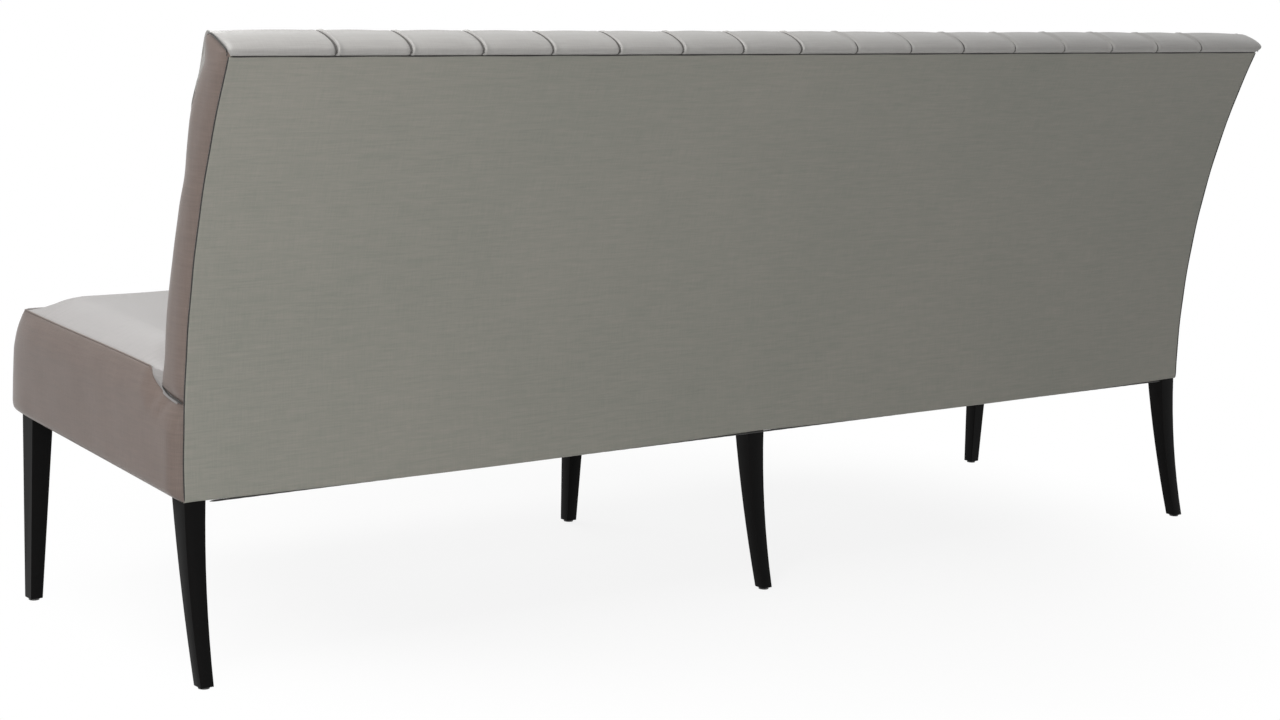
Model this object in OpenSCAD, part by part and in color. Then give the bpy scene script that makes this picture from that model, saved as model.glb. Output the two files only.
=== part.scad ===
// Upholstered banquette bench with a flared, button-tufted back and six wooden legs.
// Millimetres. The bench stands on Z = 0, its length runs along X and its front faces -Y.
// Left is the +X end, as it is for someone who sits on the bench.

/* [Body] */
// Length over the end covers
bench_l = 2280; // [1900:10:2500]
// Depth from the front cover to the upright part of the rear cover
body_d = 580; // [540:5:620]
// Height of the underside at the rear edge
rear_under_h = 281; // [250:1:300]
// Slope of the seat and of the underside, front edge up, in degrees
rake = 4; // [2:0.1:6]
// Height from the underside to the seam around the seat
seat_body_h = 175; // [165:1:190]
// Crown of the seat above its seam
seat_crown = 20; // [8:1:30]
// Distance that the seat's front seam is drawn back from the front cover
front_seam_set = 47; // [35:1:60]

/* [Back] */
// Height of the seam along the top of the rear cover
back_seam_h = 948; // [900:1:980]
// Height at which the rear cover stands upright
bow_h = 355; // [345:1:370]
// Radius of the flared rear cover
back_bow_r = 1438; // [1300:1:1700]
// Height of the top roll over its seam
roll_h = 20; // [17:1:26]
// Depth of the padded strip at each end of the back
strip_d = 66; // [62:1:74]
// Height of the padding between two pleats
pad_crown = 20; // [12:1:26]

/* [Tufting] */
// Buttons in the top row
tuft_count = 16; // [10:1:18]
// Distance from the end of the bench to the first button of the top row
tuft_margin = 175; // [150:1:200]
// Rows of buttons
tuft_rows = 4; // [2:1:4]
// Distance from one row to the next
tuft_row_h = 79; // [70:1:84]
// Distance from the top seam down to the first row
tuft_drop = 178; // [160:1:185]
// Diameter of a covered button
button_d = 22; // [16:1:26]
// Height of a covered button
button_h = 7; // [5:1:9]

/* [Legs] */
// Width of a leg where it leaves the body
leg_w = 36; // [32:1:42]
// Width of a leg at the floor
foot_w = 22; // [18:1:28]
// Radius of the sweep of the rear legs
leg_bow_r = 1170; // [1100:10:2200]
// Distance from the front cover to the front legs
front_leg_set = 32; // [20:1:40]
// Height of a glide
glide_h = 3; // [2:0.5:5]
// Diameter of a glide
glide_d = 18; // [12:1:18]

/* [Frame] */
// Height of the seat rails
rail_h = 72; // [60:1:80]
// Thickness of the seat rails
rail_t = 25; // [22:1:28]
// Height of the top rail of the back
top_rail_h = 50; // [40:1:60]
// Height of the lower rails of the back
low_rail_h = 50; // [40:1:60]
// Thickness of the lower rails and stiles of the back
stile_t = 28; // [22:1:32]
// Width of a stile
stile_w = 30; // [24:1:36]
// Dowel diameter
dowel_d = 8; // [6:0.5:9]
// Dowel length
dowel_l = 40; // [32:1:44]
// Depth of a dowel in the leg or the crosswise piece
dowel_in_leg = 15; // [10:1:16]
// Length of a corner block along each rail
block_arm = 100; // [80:1:120]
// Length of the corner that is cut off a block beside the leg
block_cut = 40; // [30:1:50]
// Height of a corner block
block_h = 30; // [24:1:36]
// Screw diameter
screw_d = 4; // [3:0.5:5]
// Screw length in the rail
screw_in = 11; // [8:1:12]

/* [Layers] */
// Thickness of the covers
cover_t = 1.6; // [1.2:0.1:2.2]
// Thickness of the board behind the rear cover
rear_board_t = 2.5; // [2:0.1:4]
// Thickness of the bent plywood behind the tufting
ply_t = 4; // [3:0.5:5]
// Thickness of the foam on the plywood
core_t = 10; // [8:1:12]
// Thickness of the padding at a pleat
pleat_t = 10; // [8:1:14]
// Thickness of the end covers
side_t = 2; // [1.5:0.1:3]
// Thickness of the dust cover
dust_t = 1; // [0.6:0.1:1.5]
// Thickness of the webbing
web_t = 1.5; // [1:0.1:2.5]
// Width of a webbing strip
web_w = 60; // [50:1:70]
// Webbing strips in each half of the seat
web_count = 11; // [8:1:12]
// Thickness of the lining over the webbing
lining_t = 1; // [0.6:0.1:2]
// Height of the tack strip under the top seam
tack_h = 12; // [10:1:15]

/* [Hidden] */
$fn = 32;

// Clearances
glue_gap = 0.1;
soft_gap = 0.4;
notch_gap = 2;
overrun = 5;

// Fixed details
nail_d = 2;
nail_l = 14;
tie_d = 1.6;
tie_hole_d = 3;
washer_d = 14;
washer_t = 2;
tie_tail = 1;
shank_d = 4;
head_d = 8;
head_h = 3;
screw_side_share = 0.75;
arc_steps = 14;
low_steps = 4;
leg_steps = 8;
front_sweep_share = 0.72;
block_rise = 12;
dowel_spread = 36;
post_dowel_spread = 16;
strip_foot_h = 147;
strip_foot_rise = 10;
pad_foot_gap = 3;
seat_tuck = 26;

// Places along X
half_l = bench_l / 2;
frame_x = half_l - side_t;
leg_x = frame_x - leg_w / 2;
tuft_pitch = (bench_l - 2 * tuft_margin) / (tuft_count - 1);

// Depths behind the rear cover, counted towards the front
frame_r = cover_t + rear_board_t;
post_r = frame_r + leg_w;
ply_r = post_r + ply_t;
core_r = ply_r + core_t;

// The rear cover leans back on an arc above bow_h and below it
top_a = asin((back_seam_h - bow_h) / back_bow_r);
mm_to_deg = 180 / (PI * back_bow_r);

// Steps of the padding over the top roll, from its front round to the rear seam: the turn away from the
// front in degrees, the place between the rear corner and the front corner, the thickness on a pleat as a
// share of roll_h, the crown between two pleats as a share of pad_crown, and the share of the thickness that
// is left at the ends
roll_core_share = 0.3;
roll_core_t = roll_h * roll_core_share;
roll_shares = [
    [0, 1, 0.5, 0.25, 1], [45, 1, 0.35, 0.15, 0.4], [90, 1, 0.35, 0.1, 0.4], [90, 0.5, 0.5, 0.15, 0.3],
    [90, 0, 0.5, 0.15, 0.3], [135, 0, 0.5, 0.1, 0.4], [180, 0, frame_r / roll_h, 0, 1]
];
function roll_core_r(row) = frame_r + roll_core_t * (1 + cos(row[0]))
    + (core_r - frame_r - 2 * roll_core_t) * row[1];
function roll_core_up(row) = roll_core_t * sin(row[0]);
function row_reach(row) = back_bow_r - (back_bow_r + roll_core_r(row)) * cos(top_a)
    + roll_core_up(row) * sin(top_a) - (row[2] * roll_h + row[3] * pad_crown) * cos(top_a + row[0]);

// The bench's middle lies halfway between its front cover and the rearmost line of the roll
roll_reach = max([for (row = roll_shares) row_reach(row)]);
rear_y = (body_d - roll_reach) / 2;
front_y = rear_y - body_d;
bow_y = rear_y + back_bow_r;
front_leg_y = front_y + front_leg_set;
seat_end_y = rear_y - post_r - soft_gap;

// Heights of the seat's layers over the underside
rail_base = dust_t;
rail_top = rail_base + rail_h;
web_top = rail_top + web_t;
lining_top = web_top + lining_t;
foam_top = seat_body_h - cover_t;

function under(y) = rear_under_h + (rear_y - y) * tan(rake);
function raked(y, h) = [y, under(y) + h];
function raked_band(y0, y1, h0, h1) = [raked(y0, h0), raked(y1, h0), raked(y1, h1), raked(y0, h1)];
function reversed(list) = [for (i = [len(list) - 1:-1:0]) list[i]];
function low_y(z) = leg_bow_r - sqrt(leg_bow_r * leg_bow_r - (bow_h - z) * (bow_h - z));

// The arc is a chain of flat steps, alike in every layer, so that the layers lie flat on each other
bow_step = top_a / arc_steps;
function arc_corner(r, k) = (back_bow_r + r) * [-cos(k * bow_step), sin(k * bow_step)];
function arc_point(r, a) =
    let (k = floor(a / bow_step), f = a / bow_step - k)
    [bow_y, bow_h] + (1 - f) * arc_corner(r, k) + f * arc_corner(r, k + 1);
function roll_point(r, t) = arc_point(r, top_a) + t * [sin(top_a), cos(top_a)];
same_step_share = 0.01;
function arc_line(r, a0, a1) = concat(
    [arc_point(r, a0)],
    [for (k = [ceil(a0 / bow_step + same_step_share):floor(a1 / bow_step - same_step_share)])
        arc_point(r, k * bow_step)],
    [arc_point(r, a1)]);
function low_line(r) = [for (i = [0:low_steps - 1])
    let (z = rear_under_h + (bow_h - rear_under_h) * i / low_steps) [rear_y - r + low_y(z), z]];
function rear_line(r, a1) = concat(low_line(r), arc_line(r, 0, a1));
function arc_band(r0, r1, a0, a1) = concat(arc_line(r0, a0, a1), reversed(arc_line(r1, a0, a1)));
function rear_band(r0, r1, a1) = concat(rear_line(r0, a1), reversed(rear_line(r1, a1)));

// Angles along the back
low_rail_a0 = asin((seat_body_h + rear_under_h + pad_foot_gap + post_r * tan(rake) - bow_h) / back_bow_r);
low_rail_a1 = low_rail_a0 + low_rail_h * mm_to_deg;
top_rail_a0 = top_a - top_rail_h * mm_to_deg;
function row_angle(k) = top_a - (tuft_drop + k * tuft_row_h) * mm_to_deg;
function row_count(k) = tuft_count + k % 2;
function button_x(k, i) = (i - (row_count(k) - 1) / 2) * tuft_pitch;

// Height of the padding between the pleats, from 0 on a pleat to 1 in a diamond.
// u counts buttons along X, v counts rows down from the top row.
function crown_share(u, v) =
    v <= 0 ? abs(sin(180 * (u + 0.5))) :
    v >= tuft_rows - 1 ? abs(sin(180 * (u + tuft_rows / 2))) :
    sqrt(abs(sin(180 * (u + 0.5 + v / 2)) * sin(180 * (u + 0.5 - v / 2))));

// Draws an outline of [y, z] points and stretches it along X
module along_x(x0, x1, outline) {
    translate([x0, 0, 0])
        rotate([90, 0, 90])
            linear_extrude(x1 - x0) polygon(outline);
}

// Draws an outline of [x, z] points and stretches it along Y
module along_y(y0, y1, outline) {
    translate([0, y1, 0])
        rotate([90, 0, 0])
            linear_extrude(y1 - y0) polygon(outline);
}

// Stands its children on the back at depth r and angle a, with their Z axis towards the front
module on_back(x, r, a) {
    translate([x, arc_point(r, a)[0], arc_point(r, a)[1]])
        rotate([90 - a, 0, 0]) children();
}

// Puts a copy at every tuft
module at_tufts(r, min_x = 0) {
    for (k = [0:tuft_rows - 1])
        for (i = [0:row_count(k) - 1])
            if (abs(button_x(k, i)) >= min_x)
                on_back(button_x(k, i), r, row_angle(k)) children();
}

// Frame joints: the middle of each dowel and its turn. The dowel lies along its own Z axis.
dowel_shift = dowel_l / 2 - dowel_in_leg;
half_leg = leg_w / 2;
rail_ends = [for (side = [-1, 1]) each [[side * half_leg, side], [side * (frame_x - leg_w), -side]]];
rail_dowel_h = rail_base + rail_h / 2;
function spread(list, gap) = [for (p = list) each [p - gap / 2, p + gap / 2]];
front_dowel_y = front_leg_y + rail_t / 2;
rear_dowel_y = rear_y - frame_r - rail_t / 2;
seat_dowels = concat(
    [for (y = [front_dowel_y, rear_dowel_y]) for (e = rail_ends) for (h = spread([rail_dowel_h], dowel_spread))
        [[e[0] + e[1] * dowel_shift, y, under(y) + h], [0, 90, 0]]],
    [for (x = [-frame_x + rail_t / 2, 0, frame_x - rail_t / 2]) for (h = spread([rail_dowel_h], dowel_spread))
        [[x, front_leg_y + leg_w + dowel_shift, under(front_leg_y + leg_w) + h], [90, 0, 0]]],
    [for (x = [-frame_x + rail_t / 2, 0, frame_x - rail_t / 2]) for (h = spread([rail_dowel_h], dowel_spread))
        [[x, rear_y - post_r - dowel_shift, under(rear_y - post_r) + h], [90, 0, 0]]]);
low_rail_mid = arc_point(post_r - stile_t / 2, (low_rail_a0 + low_rail_a1) / 2);
low_dowels = [for (e = rail_ends) for (h = spread([low_rail_mid[1]], dowel_spread / 2))
    [[e[0] + e[1] * dowel_shift, low_rail_mid[0], h], [0, 90, 0]]];

// The stiles stand between the columns of buttons, a sixth and a third of the buttons from the middle
stile_offset_share = 0.75;
inner_stile_x = (floor(tuft_count / 6) + stile_offset_share) * tuft_pitch;
outer_stile_x = (floor(tuft_count / 3) + stile_offset_share) * tuft_pitch;
stile_xs = [-outer_stile_x, -inner_stile_x, inner_stile_x, outer_stile_x];
function up_dowel(x, r, a, side) =
    let (p = arc_point(r, a) + side * dowel_shift * [sin(a), cos(a)]) [[x, p[0], p[1]], [-a, 0, 0]];
top_dowels = concat(
    [for (x = [-leg_x, 0, leg_x]) for (px = spread([x], post_dowel_spread))
        up_dowel(px, frame_r + leg_w / 2, top_rail_a0, -1)],
    [for (x = stile_xs) up_dowel(x, post_r - stile_t / 2, top_rail_a0, -1)]);
stile_foot_dowels = [for (x = stile_xs) up_dowel(x, post_r - stile_t / 2, low_rail_a1, 1)];

module dowels(places, grow = 0) {
    for (p = places)
        translate(p[0]) rotate(p[1])
            cylinder(d = dowel_d + 2 * grow, h = dowel_l + 2 * grow, center = true);
}

// Legs
function leg_front_view(x0, x1, foot0, foot1, top) =
    [[foot0, 0], [foot1, 0], [x1, rear_under_h], [x1, top], [x0, top], [x0, rear_under_h]];

// Outline of a leg from the front: side is 1 on the left, -1 on the right and 0 in the middle
function leg_outline(side, top) =
    let (c = side * leg_x, taper = leg_w - foot_w)
    let (x0 = c - half_leg, x1 = c + half_leg)
    let (in0 = side > 0 ? taper : side < 0 ? 0 : taper / 2)
    leg_front_view(x0, x1, x0 + in0, x1 - (taper - in0), top);

function foot_x(side) = side * (leg_x + (leg_w - foot_w) / 2);
front_foot_y = front_leg_y + foot_w / 2;
function sweep_y(z) = rear_y - frame_r + low_y(z);
rear_foot_y = sweep_y(glide_h) - foot_w / 2;

module glide_holes() {
    for (side = [-1, 0, 1])
        for (y = [front_foot_y, rear_foot_y])
            translate([foot_x(side), y, 0])
                cylinder(d = nail_d + 2 * glue_gap, h = glide_h + nail_l + glue_gap);
}

module front_leg(side) {
    top = under(front_leg_y) + rail_top;
    color([0.05, 0.045, 0.045])
        difference() {
            intersection() {
                along_x(side * leg_x - half_leg, side * leg_x + half_leg, [
                    [front_leg_y, glide_h],
                    [front_leg_y + foot_w, glide_h],
                    [front_leg_y + leg_w, under(front_leg_y + leg_w)],
                    raked(front_leg_y + leg_w, rail_top),
                    raked(front_leg_y, rail_top)
                ]);
                along_y(front_leg_y - overrun, front_leg_y + leg_w + overrun, leg_outline(side, top + overrun));
            }
            dowels(seat_dowels, glue_gap);
            glide_holes();
        }
}

// Rear legs run on upwards as the posts of the back
function leg_front_y(z) =
    let (s = (rear_under_h - z) / (rear_under_h - glide_h))
    let (reach = sweep_y(glide_h) - foot_w - (rear_y - post_r))
    rear_y - post_r + reach * (front_sweep_share * s + (1 - front_sweep_share) * s * s);
rear_leg_sweep = [for (i = [0:leg_steps]) let (z = glide_h + (rear_under_h - glide_h) * i / leg_steps)
    [leg_front_y(z), z]];

module rear_leg(side) {
    color([0.05, 0.045, 0.045])
        difference() {
            intersection() {
                along_x(side * leg_x - half_leg, side * leg_x + half_leg, concat(
                    [for (i = [0:leg_steps - 1])
                        let (z = glide_h + (rear_under_h - glide_h) * i / leg_steps) [sweep_y(z), z]],
                    rear_line(frame_r, top_rail_a0),
                    reversed(arc_line(post_r, 0, top_rail_a0)),
                    reversed(rear_leg_sweep)
                ));
                along_y(front_y, -front_y + overrun, leg_outline(side, back_seam_h + overrun));
            }
            dowels(seat_dowels, glue_gap);
            dowels(low_dowels, glue_gap);
            dowels(top_dowels, glue_gap);
            glide_holes();
        }
}

module glides() {
    color([0.12, 0.12, 0.12])
        for (side = [-1, 0, 1])
            for (y = [front_foot_y, rear_foot_y])
                translate([foot_x(side), y, 0]) {
                    cylinder(d = glide_d, h = glide_h);
                    cylinder(d = nail_d, h = glide_h + nail_l);
                }
}

// Seat rails
module long_rail(side, y0) {
    x0 = side > 0 ? half_leg : -frame_x + leg_w;
    color([0.78, 0.64, 0.44])
        difference() {
            along_x(x0, x0 + frame_x - leg_w - half_leg, raked_band(y0, y0 + rail_t, rail_base, rail_top));
            dowels(seat_dowels, glue_gap);
            block_screw_holes();
        }
}

module cross_rail(x) {
    color([0.78, 0.64, 0.44])
        difference() {
            along_x(x - rail_t / 2, x + rail_t / 2,
                raked_band(front_leg_y + leg_w, rear_y - post_r, rail_base, rail_top));
            dowels(seat_dowels, glue_gap);
            block_screw_holes();
        }
}

// Corner blocks: each stands in the corner of two rails, with its own X and Y along their inner faces
module at_corners() {
    for (x = [frame_x - rail_t, rail_t / 2])
        for (side = [-1, 1]) {
            turn = x > rail_t ? -side : side;
            translate([side * x, front_leg_y + rail_t, under(front_leg_y) + block_rise])
                flipped(turn) children();
            translate([side * x, rear_y - frame_r - rail_t, under(rear_y) + block_rise + block_arm * tan(rake)])
                flipped(turn) mirror([0, 1, 0]) children();
        }
}

module flipped(turn) {
    if (turn > 0) children();
    else mirror([1, 0, 0]) children();
}

screw_x = block_arm * screw_side_share;
screw_head_y = block_arm - screw_x - head_h;

module block_screw(grow = 0) {
    translate([screw_x, -screw_in - grow, block_h / 2])
        rotate([-90, 0, 0]) {
            cylinder(d = screw_d + 2 * grow, h = screw_in + screw_head_y + grow);
            translate([0, 0, screw_in + screw_head_y - head_h])
                cylinder(d = head_d + 2 * grow, h = head_h + (grow > 0 ? head_d : 0));
        }
}

module block_screws(grow = 0) {
    block_screw(grow);
    mirror([1, -1, 0]) block_screw(grow);
}

module block_screw_holes() {
    at_corners() block_screws(glue_gap);
}

module corner_blocks() {
    color([0.72, 0.58, 0.4])
        at_corners()
            difference() {
                linear_extrude(block_h)
                    polygon([[block_cut, 0], [block_arm, 0], [0, block_arm], [0, block_cut]]);
                block_screws(glue_gap);
            }
}

module corner_block_screws() {
    color([0.7, 0.7, 0.72])
        at_corners() block_screws();
}

module frame_dowels() {
    color([0.85, 0.72, 0.52]) {
        dowels(seat_dowels);
        dowels(low_dowels);
        dowels(top_dowels);
        dowels(stile_foot_dowels);
    }
}

// Frame of the back
module back_top_rail() {
    color([0.78, 0.64, 0.44])
        difference() {
            along_x(-frame_x, frame_x, arc_band(frame_r, post_r, top_rail_a0, top_a));
            dowels(top_dowels, glue_gap);
        }
}

module back_lower_rail(side) {
    x0 = side > 0 ? half_leg : -frame_x + leg_w;
    color([0.78, 0.64, 0.44])
        difference() {
            along_x(x0, x0 + frame_x - leg_w - half_leg,
                arc_band(post_r - stile_t, post_r, low_rail_a0, low_rail_a1));
            dowels(low_dowels, glue_gap);
            dowels(stile_foot_dowels, glue_gap);
        }
}

module back_stile(i) {
    color([0.78, 0.64, 0.44])
        difference() {
            along_x(stile_xs[i] - stile_w / 2, stile_xs[i] + stile_w / 2,
                arc_band(post_r - stile_t, post_r, low_rail_a1, top_rail_a0));
            dowels(top_dowels, glue_gap);
            dowels(stile_foot_dowels, glue_gap);
        }
}

module inside_back_board() {
    color([0.8, 0.68, 0.5])
        difference() {
            along_x(-frame_x, frame_x, arc_band(post_r, ply_r, low_rail_a0, top_a));
            at_tufts(post_r - overrun) cylinder(d = tie_hole_d, h = ply_t + 2 * overrun);
        }
}

board_top_a = top_a - (tack_h + notch_gap) * mm_to_deg;

module outside_back_board() {
    color([0.45, 0.33, 0.22])
        along_x(-frame_x, frame_x, rear_band(cover_t, frame_r, board_top_a));
}

module top_tack_strip() {
    color([0.75, 0.7, 0.6])
        along_x(-frame_x, frame_x,
            arc_band(cover_t, frame_r, board_top_a + notch_gap / 2 * mm_to_deg, top_a));
}

// Seat filling
module seat_webbing() {
    bay = frame_x - leg_w - half_leg;
    color([0.25, 0.25, 0.27])
        for (side = [-1, 1])
            for (i = [0:web_count - 1]) {
                x = side * (half_leg + bay * (i + 0.5) / web_count);
                along_x(x - web_w / 2, x + web_w / 2,
                    raked_band(front_leg_y, rear_y - frame_r, rail_top, web_top));
            }
}

module seat_lining() {
    color([0.7, 0.6, 0.42])
        along_x(-frame_x, frame_x, raked_band(front_leg_y, seat_end_y, web_top, lining_top));
}

// Front outline of the seat: [distance behind the front cover's foremost line, height over the underside],
// as shares of the seam's set-back and of the seat's height
front_line_shares = [[0.18, 0], [0, 0.05], [0.04, 0.3], [0.2, 0.66], [0.62, 0.84], [1, 1]];
front_line = [for (p = front_line_shares)
    raked(front_y + p[0] * front_seam_set, p[1] * seat_body_h)];
front_seam_y = front_y + front_seam_set;
shoulder_share = 0.6;
shoulder_h = seat_body_h * shoulder_share;

module seat_foam() {
    color([0.93, 0.9, 0.75])
        along_x(-frame_x, frame_x, [
            raked(front_leg_y, lining_top),
            raked(seat_end_y, lining_top),
            raked(seat_end_y, foam_top),
            raked(front_seam_y + cover_t, foam_top),
            raked(front_leg_y, shoulder_h)
        ]);
}

module seat_front_cover() {
    color([0.6, 0.57, 0.56])
        along_x(-frame_x, frame_x, concat(front_line, [
            raked(front_seam_y + cover_t, seat_body_h),
            raked(front_seam_y + cover_t, foam_top),
            raked(front_leg_y, shoulder_h),
            raked(front_leg_y, 0)
        ]));
}

// Crowned top of the seat: a grid with the crown drawn in to the seams at the front and both ends
seat_nx = 30;
seat_ny = 10;
seat_rise_share = 0.18;
seat_spread_share = 0.8;
seat_top_y0 = front_seam_y + cover_t;
seat_top_y1 = seat_end_y;
function edge_share(s, rise) = s <= 0 ? 0 : s >= rise ? 1 : sin(90 * s / rise);
function seat_x(i) = let (s = 2 * i / seat_nx - 1) frame_x * (s < 0 ? -1 : 1) * pow(abs(s), seat_spread_share);
function seat_y(j) = let (s = j / seat_ny) seat_top_y0 + (seat_top_y1 - seat_top_y0) * s;
function seat_h(x, y) =
    let (end = edge_share((frame_x - abs(x)) / frame_x, seat_rise_share))
    let (front = edge_share((y - seat_top_y0) / body_d, seat_rise_share))
    let (back = edge_share((seat_top_y1 - seat_tuck - y) / body_d, seat_rise_share))
    seat_body_h + seat_crown * end * front * back;
function grid_faces(n, m, flip, base) = [for (j = [0:m - 1]) for (i = [0:n - 1])
    let (a = base + j * (n + 1) + i, b = a + 1, c = b + n + 1, d = a + n + 1)
    each flip ? [[a, b, c], [a, c, d]] : [[a, c, b], [a, d, c]]];

module seat_top_cover() {
    size = (seat_nx + 1) * (seat_ny + 1);
    top = [for (j = [0:seat_ny]) for (i = [0:seat_nx])
        [seat_x(i), seat_y(j), under(seat_y(j)) + seat_h(seat_x(i), seat_y(j))]];
    bottom = [for (j = [0:seat_ny]) for (i = [0:seat_nx])
        [seat_x(i), seat_y(j), under(seat_y(j)) + foam_top]];
    front_wall = [for (i = [0:seat_nx - 1]) each [[i, i + 1, size + i + 1], [i, size + i + 1, size + i]]];
    back_i = seat_ny * (seat_nx + 1);
    back_wall = [for (i = [0:seat_nx - 1]) let (a = back_i + i)
        each [[a + 1, a, size + a], [a + 1, size + a, size + a + 1]]];
    side_walls = [for (j = [0:seat_ny - 1])
        let (a = j * (seat_nx + 1), d = a + seat_nx + 1, b = a + seat_nx, e = d + seat_nx)
        each [[d, a, size + a], [d, size + a, size + d], [b, e, size + e], [b, size + e, size + b]]];
    color([0.66, 0.63, 0.62])
        polyhedron(
            points = concat(top, bottom),
            faces = concat(grid_faces(seat_nx, seat_ny, false, 0), grid_faces(seat_nx, seat_ny, true, size),
                front_wall, back_wall, side_walls));
}

// End covers
strip_gap = 0.3;
strip_top_y = rear_y - strip_d;

module seat_side_cover(side) {
    x0 = side > 0 ? frame_x : -half_l;
    foot = rear_under_h + strip_foot_h;
    color([0.6, 0.55, 0.54])
        along_x(x0, x0 + side_t, concat(front_line, [
            raked(strip_top_y, seat_body_h),
            [strip_top_y + strip_foot_rise, foot + strip_foot_rise - strip_gap]
        ], reversed(rear_line(cover_t, strip_a0 - strip_gap * mm_to_deg))));
}

// Outline of the back at its ends: depth and height over the top seam as shares of strip_d and roll_h
roll_end_shares = [
    [0, 0.2], [0.1, 0.42], [0.4, 0.46], [0.72, 0.44], [0.9, 0.28], [1.05, -0.1], [1.03, -1.4], [0.95, -2.5]
];
pleat_end_share = 0.95;
bulge_end_share = 1.03;
function end_share(v) =
    let (w = abs(sin(90 * (v + 1)))) pleat_end_share + (bulge_end_share - pleat_end_share) * w;
end_rows = 2 * tuft_rows + 1;
strip_a0 = asin((rear_under_h + strip_foot_h - bow_h) / back_bow_r);
strip_line = [for (i = [0:end_rows]) let (v = i / 2 - 0.5) arc_point(strip_d * end_share(v), row_angle(v))];

module back_side_cover(side) {
    x0 = side > 0 ? frame_x : -half_l;
    foot = rear_under_h + strip_foot_h;
    color([0.6, 0.55, 0.54])
        along_x(x0, x0 + side_t, concat(
            arc_line(cover_t, strip_a0, top_a),
            [for (p = roll_end_shares) roll_point(max(p[0] * strip_d, cover_t), p[1] * roll_h)],
            strip_line,
            [[strip_top_y + strip_foot_rise, foot + strip_foot_rise]]
        ));
}

// Tufted inside back: its padding lies on the foam, runs over the roll and ends at the rear seam
tuft_quarter = tuft_pitch / 4;
side_cols = floor((frame_x - tuft_quarter / 2) / tuft_quarter);
pad_xs = concat([-frame_x], [for (i = [-side_cols:side_cols]) i * tuft_quarter], [frame_x]);
pad_n = len(pad_xs) - 1;
end_fade_reach_share = 0.6;
function end_fade_share(x) = let (s = (frame_x - abs(x)) / (tuft_margin * end_fade_reach_share)) s >= 1 ? 1 : sin(90 * s);

// Each step along the padding: [inner point, outward direction, thickness on a pleat, height of the crown, row,
// share of the thickness that is left at the ends]
function front_step(a, base, crown, v) = [arc_point(core_r, a), [-cos(a), sin(a)], base, crown, v, 1];
foot_crown_share = 0.5;
top_crown_shares = [0.9, 0.6];
top_step_shares = [0.35, 0.7];
pad_steps = concat(
    [front_step(low_rail_a0, pleat_t, pad_crown * foot_crown_share, tuft_rows)],
    [for (i = [2 * (tuft_rows - 1):-1:0]) front_step(row_angle(i / 2), pleat_t, pad_crown, i / 2)],
    [for (i = [0, 1]) front_step(row_angle(0) + tuft_drop * top_step_shares[i] * mm_to_deg,
        pleat_t, pad_crown * top_crown_shares[i], -1)],
    [for (row = roll_shares) [roll_point(roll_core_r(row), roll_core_up(row)),
        [-cos(top_a + row[0]), sin(top_a + row[0])], row[2] * roll_h, row[3] * pad_crown, -1, row[4]]]);
pad_m = len(pad_steps) - 1;
function pad_point(step, x) =
    let (base = step[2] * (abs(x) < frame_x ? 1 : step[5]))
    let (t = base + step[3] * crown_share(x / tuft_pitch, step[4]) * end_fade_share(x))
    let (p = step[0] + t * step[1]) [x, p[0], p[1]];

module inside_back_cover() {
    n = pad_n + 1;
    m = pad_m + 1;
    left = n * m;
    right = left + m;
    outer = [for (s = pad_steps) for (x = pad_xs) pad_point(s, x)];
    inner_left = [for (s = pad_steps) [-frame_x, s[0][0], s[0][1]]];
    inner_right = [for (s = pad_steps) [frame_x, s[0][0], s[0][1]]];
    inner = [for (j = [0:m - 2]) let (a = left + j, b = right + j)
        each [[a, b, b + 1], [a, b + 1, a + 1]]];
    ends = [for (j = [0:m - 2]) let (a = j * n, b = j * n + n - 1, c = left + j, d = right + j)
        each [[a, c, c + 1], [a, c + 1, a + n], [b, b + n, d + 1], [b, d + 1, d]]];
    foot = concat([for (i = [0:n - 2]) [i, i + 1, left]], [[n - 1, right, left]]);
    last = (m - 1) * n;
    seam = concat([for (i = [0:n - 2]) [last + i + 1, last + i, left + m - 1]],
        [[right + m - 1, last + n - 1, left + m - 1]]);
    color([0.68, 0.66, 0.65])
        polyhedron(
            points = concat(outer, inner_left, inner_right),
            faces = concat(grid_faces(pad_n, pad_m, false, 0), inner, ends, foot, seam));
}

// Foam on the plywood and over the top rail
module back_foam() {
    color([0.93, 0.9, 0.75])
        difference() {
            along_x(-frame_x, frame_x, concat(
                [for (s = pad_steps) s[0]],
                reversed(arc_line(ply_r, low_rail_a0, top_a))
            ));
            at_tufts(ply_r - overrun) cylinder(d = tie_hole_d, h = core_t + 2 * overrun);
        }
}

// Buttons are pulled into the padding by ties that pass through the foam and the plywood
button_lift = 7;
shank_lift = 2;

module tuft_buttons() {
    color([0.66, 0.64, 0.63])
        at_tufts(core_r + pleat_t + button_lift) {
            intersection() {
                cylinder(d = button_d, h = button_h);
                translate([0, 0, button_h - button_d])
                    sphere(r = button_d);
            }
            translate([0, 0, shank_lift - button_lift])
                cylinder(d = shank_d, h = button_lift);
        }
}

washer_r = post_r - washer_t - glue_gap;

module button_ties() {
    color([0.9, 0.88, 0.8]) {
        at_tufts(washer_r - tie_tail, half_leg + washer_d)
            cylinder(d = tie_d, h = core_r - washer_r + tie_tail);
        intersection() {
            at_tufts(post_r) cylinder(d = tie_d, h = core_r - post_r);
            translate([-half_leg, front_y, 0]) cube([leg_w, -2 * front_y, back_seam_h + roll_h]);
        }
    }
}

module button_washers() {
    color([0.2, 0.2, 0.2])
        at_tufts(washer_r, half_leg + washer_d)
            difference() {
                cylinder(d = washer_d, h = washer_t);
                translate([0, 0, -overrun]) cylinder(d = tie_d + 2 * glue_gap, h = washer_t + 2 * overrun);
            }
}

module outside_back_cover() {
    color([0.5, 0.5, 0.47])
        along_x(-half_l, half_l, rear_band(0, cover_t, top_a));
}

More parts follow.
